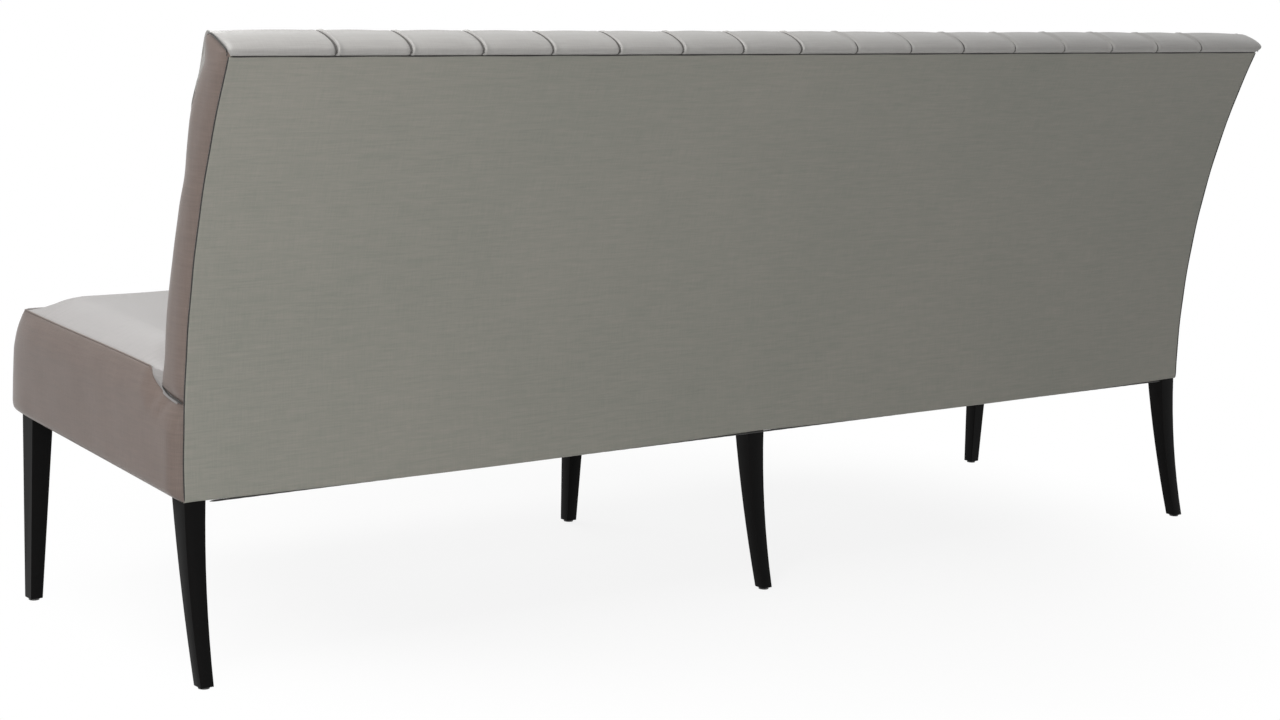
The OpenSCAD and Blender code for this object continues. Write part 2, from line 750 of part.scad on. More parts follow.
module dust_cover() {
    color([0.04, 0.04, 0.04])
        difference() {
            along_x(-frame_x, frame_x, raked_band(front_leg_y, rear_y - frame_r, 0, dust_t));
            for (side = [-1, 0, 1])
                translate([side * leg_x - half_leg - notch_gap, front_y, 0]) {
                    cube([leg_w + 2 * notch_gap, front_leg_set + leg_w + notch_gap, back_seam_h]);
                    translate([0, body_d - post_r - notch_gap, 0])
                        cube([leg_w + 2 * notch_gap, leg_w + body_d, back_seam_h]);
                }
        }
}

front_leg(1);  // front_leg_left
front_leg(0);  // front_leg_middle
front_leg(-1);  // front_leg_right
rear_leg(1);  // rear_leg_left
rear_leg(0);  // rear_leg_middle
rear_leg(-1);  // rear_leg_right
glides();
long_rail(1, front_leg_y);  // front_rail_left
long_rail(-1, front_leg_y);  // front_rail_right
long_rail(1, rear_y - frame_r - rail_t);  // rear_rail_left
long_rail(-1, rear_y - frame_r - rail_t);  // rear_rail_right
cross_rail(frame_x - rail_t / 2);  // side_rail_left
cross_rail(-frame_x + rail_t / 2);  // side_rail_right
cross_rail(0);  // middle_rail
corner_blocks();
corner_block_screws();
frame_dowels();
back_top_rail();
back_lower_rail(1);  // back_lower_rail_left
back_lower_rail(-1);  // back_lower_rail_right
back_stile(3);  // back_stile_outer_left
back_stile(2);  // back_stile_inner_left
back_stile(1);  // back_stile_inner_right
back_stile(0);  // back_stile_outer_right
inside_back_board();
outside_back_board();
top_tack_strip();
seat_webbing();
seat_lining();
seat_foam();
back_foam();
button_ties();
button_washers();
tuft_buttons();
seat_top_cover();
seat_front_cover();
seat_side_cover(1);  // seat_side_cover_left
seat_side_cover(-1);  // seat_side_cover_right
inside_back_cover();
back_side_cover(1);  // back_side_cover_left
back_side_cover(-1);  // back_side_cover_right
outside_back_cover();
dust_cover();
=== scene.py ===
# %% [markdown]
# # An upholstered banquette bench
# The bench has a sprung seat, a flared back with deep buttons, a padded roll along its top and six
# tapered legs. Its frame, boards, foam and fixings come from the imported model. This script dresses it:
# every cover is modelled again as soft upholstery, and every surface gets its own finish.

# %% Load the frame
import math
import bmesh
import bpy
import numpy as np
from mathutils import Matrix, Vector


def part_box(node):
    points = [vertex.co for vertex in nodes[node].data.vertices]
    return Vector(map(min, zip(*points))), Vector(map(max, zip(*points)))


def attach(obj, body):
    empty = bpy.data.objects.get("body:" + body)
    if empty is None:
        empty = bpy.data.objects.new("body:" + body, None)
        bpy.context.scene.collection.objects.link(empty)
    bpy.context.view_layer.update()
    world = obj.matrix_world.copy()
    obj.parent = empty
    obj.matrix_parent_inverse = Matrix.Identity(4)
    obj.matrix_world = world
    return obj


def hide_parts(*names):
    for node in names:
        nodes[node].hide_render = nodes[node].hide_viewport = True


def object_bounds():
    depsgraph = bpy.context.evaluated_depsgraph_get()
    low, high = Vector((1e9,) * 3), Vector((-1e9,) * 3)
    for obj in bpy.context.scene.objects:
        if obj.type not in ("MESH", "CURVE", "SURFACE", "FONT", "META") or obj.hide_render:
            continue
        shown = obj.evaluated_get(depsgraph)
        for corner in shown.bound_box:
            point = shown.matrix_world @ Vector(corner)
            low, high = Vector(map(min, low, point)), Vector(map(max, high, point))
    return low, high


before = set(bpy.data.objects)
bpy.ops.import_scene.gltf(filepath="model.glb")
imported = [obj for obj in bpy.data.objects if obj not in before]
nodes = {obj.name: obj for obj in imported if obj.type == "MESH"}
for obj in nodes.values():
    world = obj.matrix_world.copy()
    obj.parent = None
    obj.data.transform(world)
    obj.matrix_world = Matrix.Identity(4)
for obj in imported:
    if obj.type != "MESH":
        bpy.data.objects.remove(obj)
model_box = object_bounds()
print("model box", [[round(v, 4) for v in corner] for corner in model_box])

# %% [markdown]
# ## Sizes
# The model can't be asked how its layers follow each other, so its main sizes are written here once
# more, in metres. Depths count from the plane of the rear cover towards the front. The back leans
# rearwards on an arc, and the seat's underside rises towards the front.

# %% Sizes of the bench
HALF_LENGTH = 1.140
FRAME_END = 1.138
ENDS = ((1, "left"), (-1, "right"))
FRONT_Y = model_box[0][1]
REAR_Y = FRONT_Y + 0.580
UNDER_Z = 0.281
BOW_Z = 0.355
BOW_RADIUS = 1.438
BOW_Y = REAR_Y + BOW_RADIUS
LOW_RADIUS = 1.17
TOP_SEAM_Z = 0.948
ROLL_HEIGHT = 0.020
STRIP_DEPTH = 0.066
SEAT_HEIGHT = 0.175
SEAT_CROWN = 0.027
SEAM_LIFT = 0.0072
FRONT_SEAM_SET = 0.047
FRONT_LEG_SET = 0.032
BOARD_FRONT = 0.0041
CORE_FRONT = 0.0541
PLEAT_HEIGHT = 0.010
PAD_CROWN = 0.020
PITCH = 0.128667
BUTTON_COUNT = 16
BUTTON_ROWS = 4
BUTTON_ROW_HEIGHT = 0.079
BUTTON_DROP = 0.178
END_MARGIN = 0.175
TOP_ANGLE = math.asin((TOP_SEAM_Z - BOW_Z) / BOW_RADIUS)
SEAT_SLOPE = math.tan(math.radians(4))
print("the back leans to", round(math.degrees(TOP_ANGLE), 2), "degrees")

# %% [markdown]
# ## Places on the bench
# A few small functions say where a point of the back, of the roll and of the seat lies. Every cover
# uses them, so the covers lie on the frame without any fitting.

# %% Places on the bench
def back_place(depth, angle):
    """(y, z) at that depth in front of the rear cover, that far up its arc."""
    radius = BOW_RADIUS + depth
    return np.array([BOW_Y - radius * math.cos(angle), BOW_Z + radius * math.sin(angle)])


def roll_place(depth, rise):
    """(y, z) over the top seam, square to the back's upper end."""
    return back_place(depth, TOP_ANGLE) + rise * np.array([math.sin(TOP_ANGLE), math.cos(TOP_ANGLE)])


def rear_place(depth, z):
    """(y, z) at that depth in front of the rear cover, at a height below or above the bow."""
    if z >= BOW_Z:
        return back_place(depth, math.asin((z - BOW_Z) / BOW_RADIUS))
    low = LOW_RADIUS - math.sqrt(LOW_RADIUS ** 2 - (BOW_Z - z) ** 2)
    return np.array([REAR_Y - depth + low, z])


def outward(angle):
    """(y, z) of the way out of the back's front, that far up its arc."""
    return np.array([-math.cos(angle), math.sin(angle)])


def smooth_step(value):
    """From 0 to 1, level at both ends."""
    value = np.clip(value, 0, 1)
    return value * value * (3 - 2 * value)


def under_height(y):
    """Height of the seat's underside."""
    return UNDER_Z + (REAR_Y - y) * SEAT_SLOPE


def seam_height(y):
    """Height of the seam round the seat: the padding lifts it a little towards the back."""
    return under_height(y) + SEAT_HEIGHT + SEAM_LIFT * smooth_step((0.533 - REAR_Y + y) / 0.433)


def add_object(name, data):
    """A new object of that data, in the scene."""
    thing = bpy.data.objects.new(name, data)
    bpy.context.scene.collection.objects.link(thing)
    return thing


def from_end(x):
    """Distance of a place along the bench to the nearer end of its frame."""
    return FRAME_END - np.abs(x)


print("rear foot of the cover", rear_place(0, UNDER_Z).round(4), "top seam", back_place(0, TOP_ANGLE).round(4))

# %% [markdown]
# ## Camera
# The photograph was taken from behind the bench's left end, a little above the back, with a longer
# lens. A shift of the lens keeps the uprights nearly parallel, and the whole picture is turned by two
# degrees. The camera comes first, because everything after it is judged through it.

# %% Camera
CAMERA_PLACE = Vector((2.9392, 3.4954, 1.1741))
CAMERA_TURN, CAMERA_TILT, CAMERA_ROLL = (math.radians(v) for v in (140.727, 12.726, 2.402))

back_way = Vector((math.sin(CAMERA_TURN) * math.cos(CAMERA_TILT), -math.cos(CAMERA_TURN) * math.cos(CAMERA_TILT),
                   math.sin(CAMERA_TILT)))
right_way = (-back_way).cross(Vector((0, 0, 1))).normalized()
up_way = right_way.cross(-back_way)
turned_right = right_way * math.cos(CAMERA_ROLL) + up_way * math.sin(CAMERA_ROLL)
turned_up = -right_way * math.sin(CAMERA_ROLL) + up_way * math.cos(CAMERA_ROLL)
camera_data = bpy.data.cameras.new("photo_camera")
camera_data.sensor_fit = "HORIZONTAL"
camera_data.sensor_width = 36
camera_data.lens = 71.2
camera_data.shift_y = 0.09375
camera = add_object("photo_camera", camera_data)
camera.matrix_world = Matrix((
    (turned_right.x, turned_up.x, back_way.x, CAMERA_PLACE.x),
    (turned_right.y, turned_up.y, back_way.y, CAMERA_PLACE.y),
    (turned_right.z, turned_up.z, back_way.z, CAMERA_PLACE.z),
    (0, 0, 0, 1)))
bpy.context.scene.camera = camera
print("camera looks along", [round(v, 3) for v in -back_way])

# %% [markdown]
# ## Studio
# The bench stands on a wide pale floor. The light is that of a photographer's studio: one soft
# lamp to the bench's left and behind it, a smaller one above its left end, a weaker one in front, and
# an even sky. Where the camera looks past the floor, it sees plain white.

# %% Floor
FLOOR_HALF = 14
floor_mesh = bpy.data.meshes.new("studio_floor")
floor_corners = [(x * FLOOR_HALF, y * FLOOR_HALF, 0) for x, y in ((-1, -1), (1, -1), (1, 1), (-1, 1))]
floor_mesh.from_pydata(floor_corners, [], [(0, 1, 2, 3)])
floor = add_object("studio_floor", floor_mesh)
print("floor of", 2 * FLOOR_HALF, "by", 2 * FLOOR_HALF, "m")

# %% [markdown]
# ### Nodes
# A material is a tree of nodes, and every node is made in the same way: choose its kind and settings,
# then give each socket a value or join it to another node. A few helpers do that, so that each finish
# below reads as a recipe.

# %% Helpers for nodes
def new_material(name):
    material = bpy.data.materials.new(name)
    material.use_nodes = True
    material.node_tree.nodes.clear()
    return material, material.node_tree


def add_node(tree, kind, sockets=None, **settings):
    """Adds a node. Each socket gets a number, a colour or the output of another node."""
    node = tree.nodes.new("ShaderNode" + kind)
    for setting, value in settings.items():
        setattr(node, setting, value)
    for socket, value in (sockets or {}).items():
        if isinstance(value, bpy.types.NodeSocket):
            tree.links.new(value, node.inputs[socket])
        else:
            node.inputs[socket].default_value = value
    return node


def calculate(tree, operation, first, second=None, clamp=False):
    """The result of a Math node, with each input either a socket or a number."""
    sockets = {0: first} if second is None else {0: first, 1: second}
    return add_node(tree, "Math", sockets, operation=operation, use_clamp=clamp).outputs[0]


def weighted_sum(tree, parts, clamp=False):
    """The sum of (socket, weight) pairs."""
    terms = [calculate(tree, "MULTIPLY", socket, weight) for socket, weight in parts]
    total = terms[0]
    for number, term in enumerate(terms[1:], 2):
        total = calculate(tree, "ADD", total, term, clamp and number == len(terms))
    return total


def seen_in_picture(tree):
    """1 for what the camera sees directly, mirrored or through glass, and 0 for what only gives light."""
    rays = add_node(tree, "LightPath").outputs
    direct_or_mirrored = calculate(tree, "MAXIMUM", rays["Is Camera Ray"], rays["Is Glossy Ray"])
    return calculate(tree, "MAXIMUM", direct_or_mirrored, rays["Is Transmission Ray"])


print("node helpers ready")

# %% [markdown]
# The floor keeps a soft shadow under the bench and turns white away from it. A plain pale surface does
# that by itself where the light on it is even, so the floor mixes with white by distance from the bench.

# %% Floor finish
WHITE = (1, 1, 1, 1)
FLOOR_TONE = 0.86
floor_paint, tree = new_material("studio_floor_paint")
floor_place = add_node(tree, "TexCoord").outputs["Object"]
floor_far = add_node(tree, "VectorMath", {0: floor_place}, operation="LENGTH").outputs["Value"]
fade_sockets = {"Value": floor_far, "From Min": 0.6, "From Max": 1.3, "To Min": 0.86}
floor_fade = add_node(tree, "MapRange", fade_sockets, interpolation_type="SMOOTHSTEP").outputs["Result"]
floor_share = calculate(tree, "MULTIPLY", seen_in_picture(tree), floor_fade)
floor_matt = add_node(tree, "BsdfDiffuse", {"Color": (FLOOR_TONE, FLOOR_TONE, FLOOR_TONE, 1)}).outputs["BSDF"]
floor_white = add_node(tree, "Emission", {"Color": WHITE, "Strength": 1}).outputs["Emission"]
floor_mix = add_node(tree, "MixShader", {"Fac": floor_share, 1: floor_matt, 2: floor_white})
add_node(tree, "OutputMaterial", {"Surface": floor_mix.outputs["Shader"]})
floor_mesh.materials.append(floor_paint)
print("floor finish has", len(tree.nodes), "nodes")

# %% Sky and lamps
SKY_STRENGTH = 0.37
world = bpy.data.worlds.new("studio_sky")
bpy.context.scene.world = world
world.use_nodes = True
tree = world.node_tree
tree.nodes.clear()
sky_light, sky_white = (add_node(tree, "Background", {"Color": WHITE, "Strength": strength}).outputs["Background"]
                        for strength in (SKY_STRENGTH, 1))
sky_mix = add_node(tree, "MixShader", {"Fac": seen_in_picture(tree), 1: sky_light, 2: sky_white})
add_node(tree, "OutputWorld", {"Surface": sky_mix.outputs["Shader"]})


def soft_lamp(name, place, aim, width, height, power):
    """A rectangular lamp at a place, turned to a point of the bench, of that many watts."""
    lamp_data = bpy.data.lights.new(name, "AREA")
    lamp_data.shape = "RECTANGLE"
    lamp_data.size = width
    lamp_data.size_y = height
    lamp_data.energy = power
    lamp = add_object(name, lamp_data)
    lamp.location = place
    lamp.rotation_euler = (Vector(aim) - Vector(place)).to_track_quat("-Z", "Y").to_euler()
    lamp.visible_camera = False
    return lamp


front_lamp = soft_lamp("front_lamp", (0.6, -2.9, 2.8), (0.2, -0.1, 0.6), 3.0, 1.4, 42)
left_lamp = soft_lamp("left_lamp", (3.0, 2.5, 1.8), (0.6, 0.2, 0.6), 1.8, 1.8, 71)
top_lamp = soft_lamp("top_lamp", (1.6, 0.3, 3.0), (0.9, 0.0, 0.5), 1.3, 1.3, 46)
bpy.context.scene.view_settings.view_transform = "Standard"
print("lamps of", front_lamp.data.energy, left_lamp.data.energy, top_lamp.data.energy, "watts")

# %% [markdown]
# ## Finishes
# Several finishes share an effect: the woven emboss of the leather, slow changes of tone, and the grain
# of wood. Each effect is a node group with its own sockets, so that one recipe serves every piece.
# The emboss could be an image, but threads drawn from waves stay sharp at any distance.

# %% Helpers for node groups
def new_group(name, inputs, outputs):
    """A shader node group with named inputs, as label, kind and value, and named outputs."""
    group = bpy.data.node_groups.new(name, "ShaderNodeTree")
    for label, kind, value in inputs:
        entry = group.interface.new_socket(name=label, in_out="INPUT", socket_type="NodeSocket" + kind)
        if value is not None:
            entry.default_value = value
    for label, kind in outputs:
        group.interface.new_socket(name=label, in_out="OUTPUT", socket_type="NodeSocket" + kind)
    return group, group.nodes.new("NodeGroupInput").outputs, group.nodes.new("NodeGroupOutput").inputs


def between(tree, share, dark, light):
    """A colour between a dark and a light one."""
    return add_node(tree, "Mix", {"Factor": share, "A": dark, "B": light}, data_type="RGBA").outputs["Result"]


def noise(tree, place, scale, detail, distortion=0.0):
    """Soft noise from 0 to 1."""
    sockets = {"Vector": place, "Scale": scale, "Detail": detail, "Distortion": distortion}
    return add_node(tree, "TexNoise", sockets).outputs["Fac"]


print("group helpers ready")

# %% Woven emboss
emboss, enter, leave = new_group(
    "woven_emboss", [("Place", "Vector", None), ("Threads", "Float", 480.0), ("Slub", "Float", 0.5)],
    [("Height", "Float"), ("Tone", "Float")])
slub = noise(emboss, enter["Place"], 55, 3)
pores = noise(emboss, enter["Place"], 900, 2)
sway = calculate(emboss, "MULTIPLY", slub, 3.2)
cloth_ways = add_node(emboss, "SeparateXYZ", {0: enter["Place"]}).outputs
thread_waves = []
for axis in "XY":
    count = calculate(emboss, "MULTIPLY", cloth_ways[axis], enter["Threads"])
    turn = calculate(emboss, "ADD", calculate(emboss, "MULTIPLY", count, math.pi), sway)
    thread_waves.append(calculate(emboss, "ABSOLUTE", calculate(emboss, "SINE", turn)))
woven = weighted_sum(emboss, zip(thread_waves, (0.5, 0.5)))
streaks = []
for scale in ((26, 430, 1), (430, 26, 1), (10, 150, 1)):
    stretched = add_node(emboss, "Mapping", {"Vector": enter["Place"], "Scale": scale}).outputs[0]
    centred = calculate(emboss, "SUBTRACT", noise(emboss, stretched, 1, 2), 0.5)
    streaks.append(calculate(emboss, "MULTIPLY", centred, 1.5))
streak = weighted_sum(emboss, zip(streaks, (0.6, 0.4, 0.42)))
fine_height = weighted_sum(emboss, [(woven, 0.7), (pores, 0.3)])
slub_share = calculate(emboss, "MULTIPLY", slub, enter["Slub"])
whole_height = calculate(emboss, "ADD", calculate(emboss, "ADD", fine_height, streak), slub_share)
thread_tone = calculate(emboss, "ADD", calculate(emboss, "MULTIPLY", fine_height, 0.6),
                        calculate(emboss, "ADD", streak, 0.12), True)
emboss.links.new(whole_height, leave["Height"])
emboss.links.new(thread_tone, leave["Tone"])
print("emboss of", len(emboss.nodes), "nodes")

# %% Slow changes of tone
COLOUR_PAIR = [("Light colour", "Color", None), ("Dark colour", "Color", None)]
tone_change, enter, leave = new_group(
    "slow_tone", [("Place", "Vector", None), ("Size", "Float", 2.2), *COLOUR_PAIR, ("Thread tone", "Float", 0.5)],
    [("Colour", "Color"), ("Mask", "Float")])
cloud = noise(tone_change, enter["Place"], enter["Size"], 4)
mask = weighted_sum(tone_change, [(cloud, 0.4), (enter["Thread tone"], 0.6)], clamp=True)
tone_colour = between(tone_change, mask, enter["Dark colour"], enter["Light colour"])
tone_change.links.new(tone_colour, leave["Colour"])
tone_change.links.new(mask, leave["Mask"])
print("tone of", len(tone_change.nodes), "nodes")

# %% Wood grain
grain, enter, leave = new_group(
    "wood_grain", [("Place", "Vector", None), ("Fineness", "Float", 60.0), *COLOUR_PAIR],
    [("Colour", "Color"), ("Height", "Float")])
along_grain = add_node(grain, "Mapping", {"Vector": enter["Place"], "Scale": (1, 1, 0.06)}).outputs[0]
fibre = noise(grain, along_grain, enter["Fineness"], 6, 0.4)
ring = add_node(grain, "TexWave", {"Vector": along_grain, "Scale": 9, "Distortion": 5, "Detail": 3}).outputs["Fac"]
figure = weighted_sum(grain, [(fibre, 0.6), (ring, 0.4)], clamp=True)
grain.links.new(between(grain, figure, enter["Dark colour"], enter["Light colour"]), leave["Colour"])
grain.links.new(figure, leave["Height"])
print("node groups:", emboss.name, tone_change.name, grain.name)

# %% [markdown]
# ### Faux leather
# The covers are of a coated fabric with a fine woven emboss. It is neither matt nor glossy: broad soft
# highlights run along every rounded edge. A low roughness would look wet and a plain diffuse surface
# looks like card, so the roughness stays in the middle and changes a little with the threads.

# %% Faux leather
def join_surface(tree, colour, tone, height, roughness, relief, strength, constants):
    """The shader that all finishes share: roughness is given at tone 0 and 1, relief in metres."""
    low, high = roughness
    gloss = add_node(tree, "MapRange", {"Value": tone, "To Min": low, "To Max": high}).outputs["Result"]
    bump = add_node(tree, "Bump", {"Height": height, "Strength": strength, "Distance": relief}).outputs["Normal"]
    sockets = {"Base Color": colour, "Roughness": gloss, "Normal": bump, **constants}
    shader = add_node(tree, "BsdfPrincipled", sockets)
    add_node(tree, "OutputMaterial", {"Surface": shader.outputs["BSDF"]})


def leather(name, light, dark, threads=480.0, roughness=0.42, relief=0.00035, shine=0.25, space="UV", sheen=0.04):
    """A coated fabric with a woven emboss, placed by the piece's own lengths in metres."""
    material, tree = new_material(name)
    place = add_node(tree, "TexCoord").outputs[space]
    weave = add_node(tree, "Group", {"Place": place, "Threads": threads}, node_tree=emboss)
    tone_sockets = {"Place": place, "Thread tone": weave.outputs["Tone"],
                    "Light colour": (*light, 1), "Dark colour": (*dark, 1)}
    tone = add_node(tree, "Group", tone_sockets, node_tree=tone_change)
    join_surface(tree, tone.outputs["Colour"], weave.outputs["Tone"], weave.outputs["Height"],
                 (roughness - 0.05, roughness + 0.08), relief, 0.5,
                 {"IOR": 1.48, "Specular IOR Level": shine, "Sheen Weight": sheen, "Sheen Roughness": 0.5})
    return material


# One faux leather covers the whole bench. The four copies below differ a little in tint, and their brightness also
# holds painted light: the side copy is darker as painted shade on the ends, and the tufted and seat copies are lighter
# as painted light on the roll and the seat top.
tufted_leather = leather("tufted_leather", (0.375, 0.365, 0.351), (0.26, 0.253, 0.243), roughness=0.33, shine=0.3)
seat_leather = leather("seat_leather", (0.305, 0.283, 0.279), (0.197, 0.193, 0.186), roughness=0.36)
side_leather = leather("side_leather", (0.184, 0.141, 0.123), (0.098, 0.078, 0.068), roughness=0.33)
rear_leather = leather("outside_back_leather", (0.285, 0.264, 0.233), (0.163, 0.175, 0.150))
print("leathers made")

# %% [markdown]
# ### Lacquered legs, raw wood and board
# The legs are stained black and lacquered, so the grain shows only as a faint relief under a satin
# film. The hidden frame is sawn beech, plywood and hardboard, each with its own grain.

# %% Woods and boards
def wood(name, light, dark, fineness, roughness, relief=0.0003, shine=0.5):
    """A wood or board whose grain runs upwards in the object's own space."""
    material, tree = new_material(name)
    sockets = {"Place": add_node(tree, "TexCoord").outputs["Object"], "Fineness": fineness,
               "Light colour": (*light, 1), "Dark colour": (*dark, 1)}
    figure = add_node(tree, "Group", sockets, node_tree=grain)
    join_surface(tree, figure.outputs["Colour"], figure.outputs["Height"], figure.outputs["Height"],
                 (roughness + 0.06, roughness - 0.04), relief, 0.35, {"Specular IOR Level": shine})
    return material


black_lacquer = wood("black_lacquered_wood", (0.005, 0.0046, 0.0046), (0.0025, 0.0025, 0.0025), 55, 0.36,
                     relief=0.00008, shine=0.05)
raw_beech = wood("raw_beech", (0.66, 0.48, 0.30), (0.50, 0.33, 0.18), 70, 0.62)
turned_beech = wood("turned_beech", (0.72, 0.57, 0.38), (0.60, 0.44, 0.26), 90, 0.55)
birch_ply = wood("birch_plywood", (0.70, 0.55, 0.36), (0.58, 0.42, 0.25), 40, 0.55)
brown_board = wood("brown_hardboard", (0.27, 0.17, 0.10), (0.19, 0.115, 0.06), 220, 0.5)
print("woods made")

# %% [markdown]
# ### Small parts and fillings
# Screws, glides, washers, webbing, hessian, foam and twine are hidden in use, but each has a finish of
# its own, so that the bench can also be shown open. The cloths borrow the woven emboss at their own
# thread count, and foam gets the cells of a cut face.

# %% Cloths and fillings
def cloth(name, light, dark, threads, roughness, relief):
    """A woven cloth placed in the object's own space, with more sheen than leather."""
    return leather(name, light, dark, threads, roughness, relief, space="Object", sheen=0.3)


def speckled(name, light, dark, scale, roughness, relief, metal=0.0):
    """A surface with fine cells or grains: foam, moulded plastic or plated steel."""
    material, tree = new_material(name)
    cells = noise(tree, add_node(tree, "TexCoord").outputs["Object"], scale, 5)
    join_surface(tree, between(tree, cells, (*dark, 1), (*light, 1)), cells, cells,
                 (roughness - 0.08, roughness + 0.08), relief, 0.5, {"Metallic": metal})
    return material


webbing_cloth = cloth("elastic_webbing", (0.15, 0.15, 0.17), (0.09, 0.09, 0.10), 500.0, 0.8, 0.0004)
hessian_cloth = cloth("hessian", (0.55, 0.42, 0.26), (0.40, 0.29, 0.16), 420.0, 0.85, 0.0008)
twine_cord = cloth("waxed_twine", (0.78, 0.73, 0.62), (0.62, 0.56, 0.45), 900.0, 0.6, 0.0003)
under_cloth = cloth("black_dust_cloth", (0.016, 0.016, 0.016), (0.009, 0.009, 0.009), 650.0, 0.85, 0.0003)
tack_card = cloth("tack_card", (0.62, 0.57, 0.47), (0.52, 0.47, 0.38), 200.0, 0.75, 0.0002)
cut_foam = speckled("cut_foam", (0.90, 0.85, 0.66), (0.76, 0.70, 0.50), 700, 0.9, 0.0006)
glide_plastic = speckled("glide_plastic", (0.06, 0.06, 0.06), (0.035, 0.035, 0.035), 900, 0.45, 0.0001)
washer_plastic = speckled("washer_plastic", (0.09, 0.09, 0.09), (0.06, 0.06, 0.06), 700, 0.5, 0.0001)
zinc_steel = speckled("zinc_plated_steel", (0.66, 0.66, 0.68), (0.52, 0.52, 0.54), 500, 0.32, 0.00005, metal=1.0)
print("small finishes made")

# %% Finishes of the model's own parts
FINISHES = [("_leg_", black_lacquer), ("glides", glide_plastic), ("corner_block_screws", zinc_steel),
            ("frame_dowels", turned_beech), ("rail", raw_beech), ("stile", raw_beech), ("corner_blocks", raw_beech),
            ("inside_back_board", birch_ply), ("outside_back_board", brown_board), ("tack_strip", tack_card),
            ("webbing", webbing_cloth), ("lining", hessian_cloth), ("foam", cut_foam), ("ties", twine_cord),
            ("washers", washer_plastic), ("dust_cover", under_cloth), ("tuft", tufted_leather),
            ("inside_back_cover", tufted_leather), ("seat_top", seat_leather), ("seat_front", seat_leather),
            ("side_cover", side_leather), ("outside_back_cover", rear_leather)]
for name, part in nodes.items():
    part.data.materials.clear()
    part.data.materials.append(next(finish for word, finish in FINISHES if word in name))
print(len(nodes), "parts of the model have a finish")

# %% [markdown]
# ## Building covers
# Every cover is a mesh of our own, made from rows of points. Two helpers turn rows into a closed form:
# one joins rings along the bench, the other closes a grid of outer points with one of inner points. The
# pieces carry their own lengths in metres as UV, so the emboss follows the cloth over every bend.

# %% Rows to mesh
def riding_piece(mesh, finish, sharp):
    """A smooth piece of that mesh, sharp only where faces meet at more than that many degrees."""
    mesh.polygons.foreach_set("use_smooth", np.ones(len(mesh.polygons), bool))
    mesh.set_sharp_from_angle(angle=math.radians(sharp))
    mesh.materials.append(finish)
    piece = add_object(mesh.name, mesh)
    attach(piece, "root")
    return piece


def finished_piece(name, vertices, faces, corner_places, finish, sharp=50):
    """A smooth mesh object with UV in metres; corner_places gives (u, v) for each corner of each face."""
    mesh = bpy.data.meshes.new(name)
    mesh.from_pydata([tuple(map(float, v)) for v in vertices], [], faces)
    layer = mesh.uv_layers.new(name="UVMap")
    layer.data.foreach_set("uv", np.array([uv for face in corner_places for uv in face], np.float32).ravel())
    work = bmesh.new()
    work.from_mesh(mesh)
    bmesh.ops.remove_doubles(work, verts=work.verts, dist=1e-6)
    bmesh.ops.recalc_face_normals(work, faces=work.faces)
    work.to_mesh(mesh)
    work.free()
    return riding_piece(mesh, finish, sharp)


def quads(rows, columns):
    """The four corners, as (row, column), of each cell of a grid of points."""
    for i in range(rows - 1):
        for j in range(columns - 1):
            yield (i, j), (i, j + 1), (i + 1, j + 1), (i + 1, j)


def run_length(points):
    """The length of a line up to each of its points."""
    return np.concatenate([[0], np.cumsum(np.linalg.norm(np.diff(points, axis=0), axis=1))])


def ring_piece(name, rings, finish, sharp=50):
    """Joins closed rings of points, [ring][point][xyz], into a closed form with a cap at each end."""
    rings = np.asarray(rings, float)
    count, size = rings.shape[:2]
    index = np.arange(count * size).reshape(count, size)
    middle = rings[count // 2]
    around = run_length(np.vstack([middle, middle[:1]]))
    onward = run_length(rings[:, 0])
    faces, corners = [], []
    for quad in quads(count, size + 1):
        faces.append(tuple(index[i, j % size] for i, j in quad))
        corners.append(tuple((onward[i], around[j]) for i, j in quad))
    for i in (0, count - 1):
        order = list(index[i]) if i else list(index[i][::-1])
        faces.append(tuple(order))
        corners.append(tuple((rings[i][v % size][1], rings[i][v % size][2]) for v in order))
    return finished_piece(name, rings.reshape(-1, 3), faces, corners, finish, sharp)


def shell_piece(name, outer, inner, places, finish):
    """Closes a grid of outer points with a grid of inner points, [row][column][xyz], and walls between."""
    outer, inner, places = np.asarray(outer, float), np.asarray(inner, float), np.asarray(places, float)
    rows, columns = outer.shape[:2]
    top = np.arange(rows * columns).reshape(rows, columns)
    low = top + rows * columns
    faces, corners = [], []
    for quad in quads(rows, columns):
        for layer, order in ((top, quad), (low, quad[::-1])):
            faces.append(tuple(layer[a, b] for a, b in order))
            corners.append(tuple(places[a, b] for a, b in order))
    edge = [(0, j) for j in range(columns - 1)] + [(i, columns - 1) for i in range(rows - 1)]
    edge += [(rows - 1, j) for j in range(columns - 1, 0, -1)] + [(i, 0) for i in range(rows - 1, 0, -1)]
    for a, b in zip(edge, edge[1:] + edge[:1]):
        faces.append((top[a], low[a], low[b], top[b]))
        corners.append((places[a], places[a], places[b], places[b]))
    return finished_piece(name, np.vstack([outer.reshape(-1, 3), inner.reshape(-1, 3)]), faces, corners, finish)


print("helpers ready")

# %% Curves and edges
def smooth_curve(points, steps):
    """A Catmull-Rom curve through the points, with that many steps between two of them."""
    points = np.asarray(points, float)
    padded = np.vstack([2 * points[0] - points[1], points, 2 * points[-1] - points[-2]])
    made = []
    for i in range(len(points) - 1):
        a, b, c, d = padded[i:i + 4]
        for t in np.linspace(0, 1, steps, endpoint=False):
            made.append(0.5 * (2 * b + (c - a) * t + (2 * a - 5 * b + 4 * c - d) * t * t
                               + (3 * b - a - 3 * c + d) * t ** 3))
    return np.vstack([made, points[-1:]])


def even_points(points, count):
    """The same line with that many points, evenly spaced."""
    points = np.asarray(points, float)
    run = run_length(points)
    places = np.linspace(0, run[-1], count)
    return np.stack([np.interp(places, run, points[:, k]) for k in range(points.shape[1])], 1)


def along_table(value, table):
    """Looks a value up in a table of pairs, evenly between two of them."""
    return np.interp(value, *np.transpose(table))


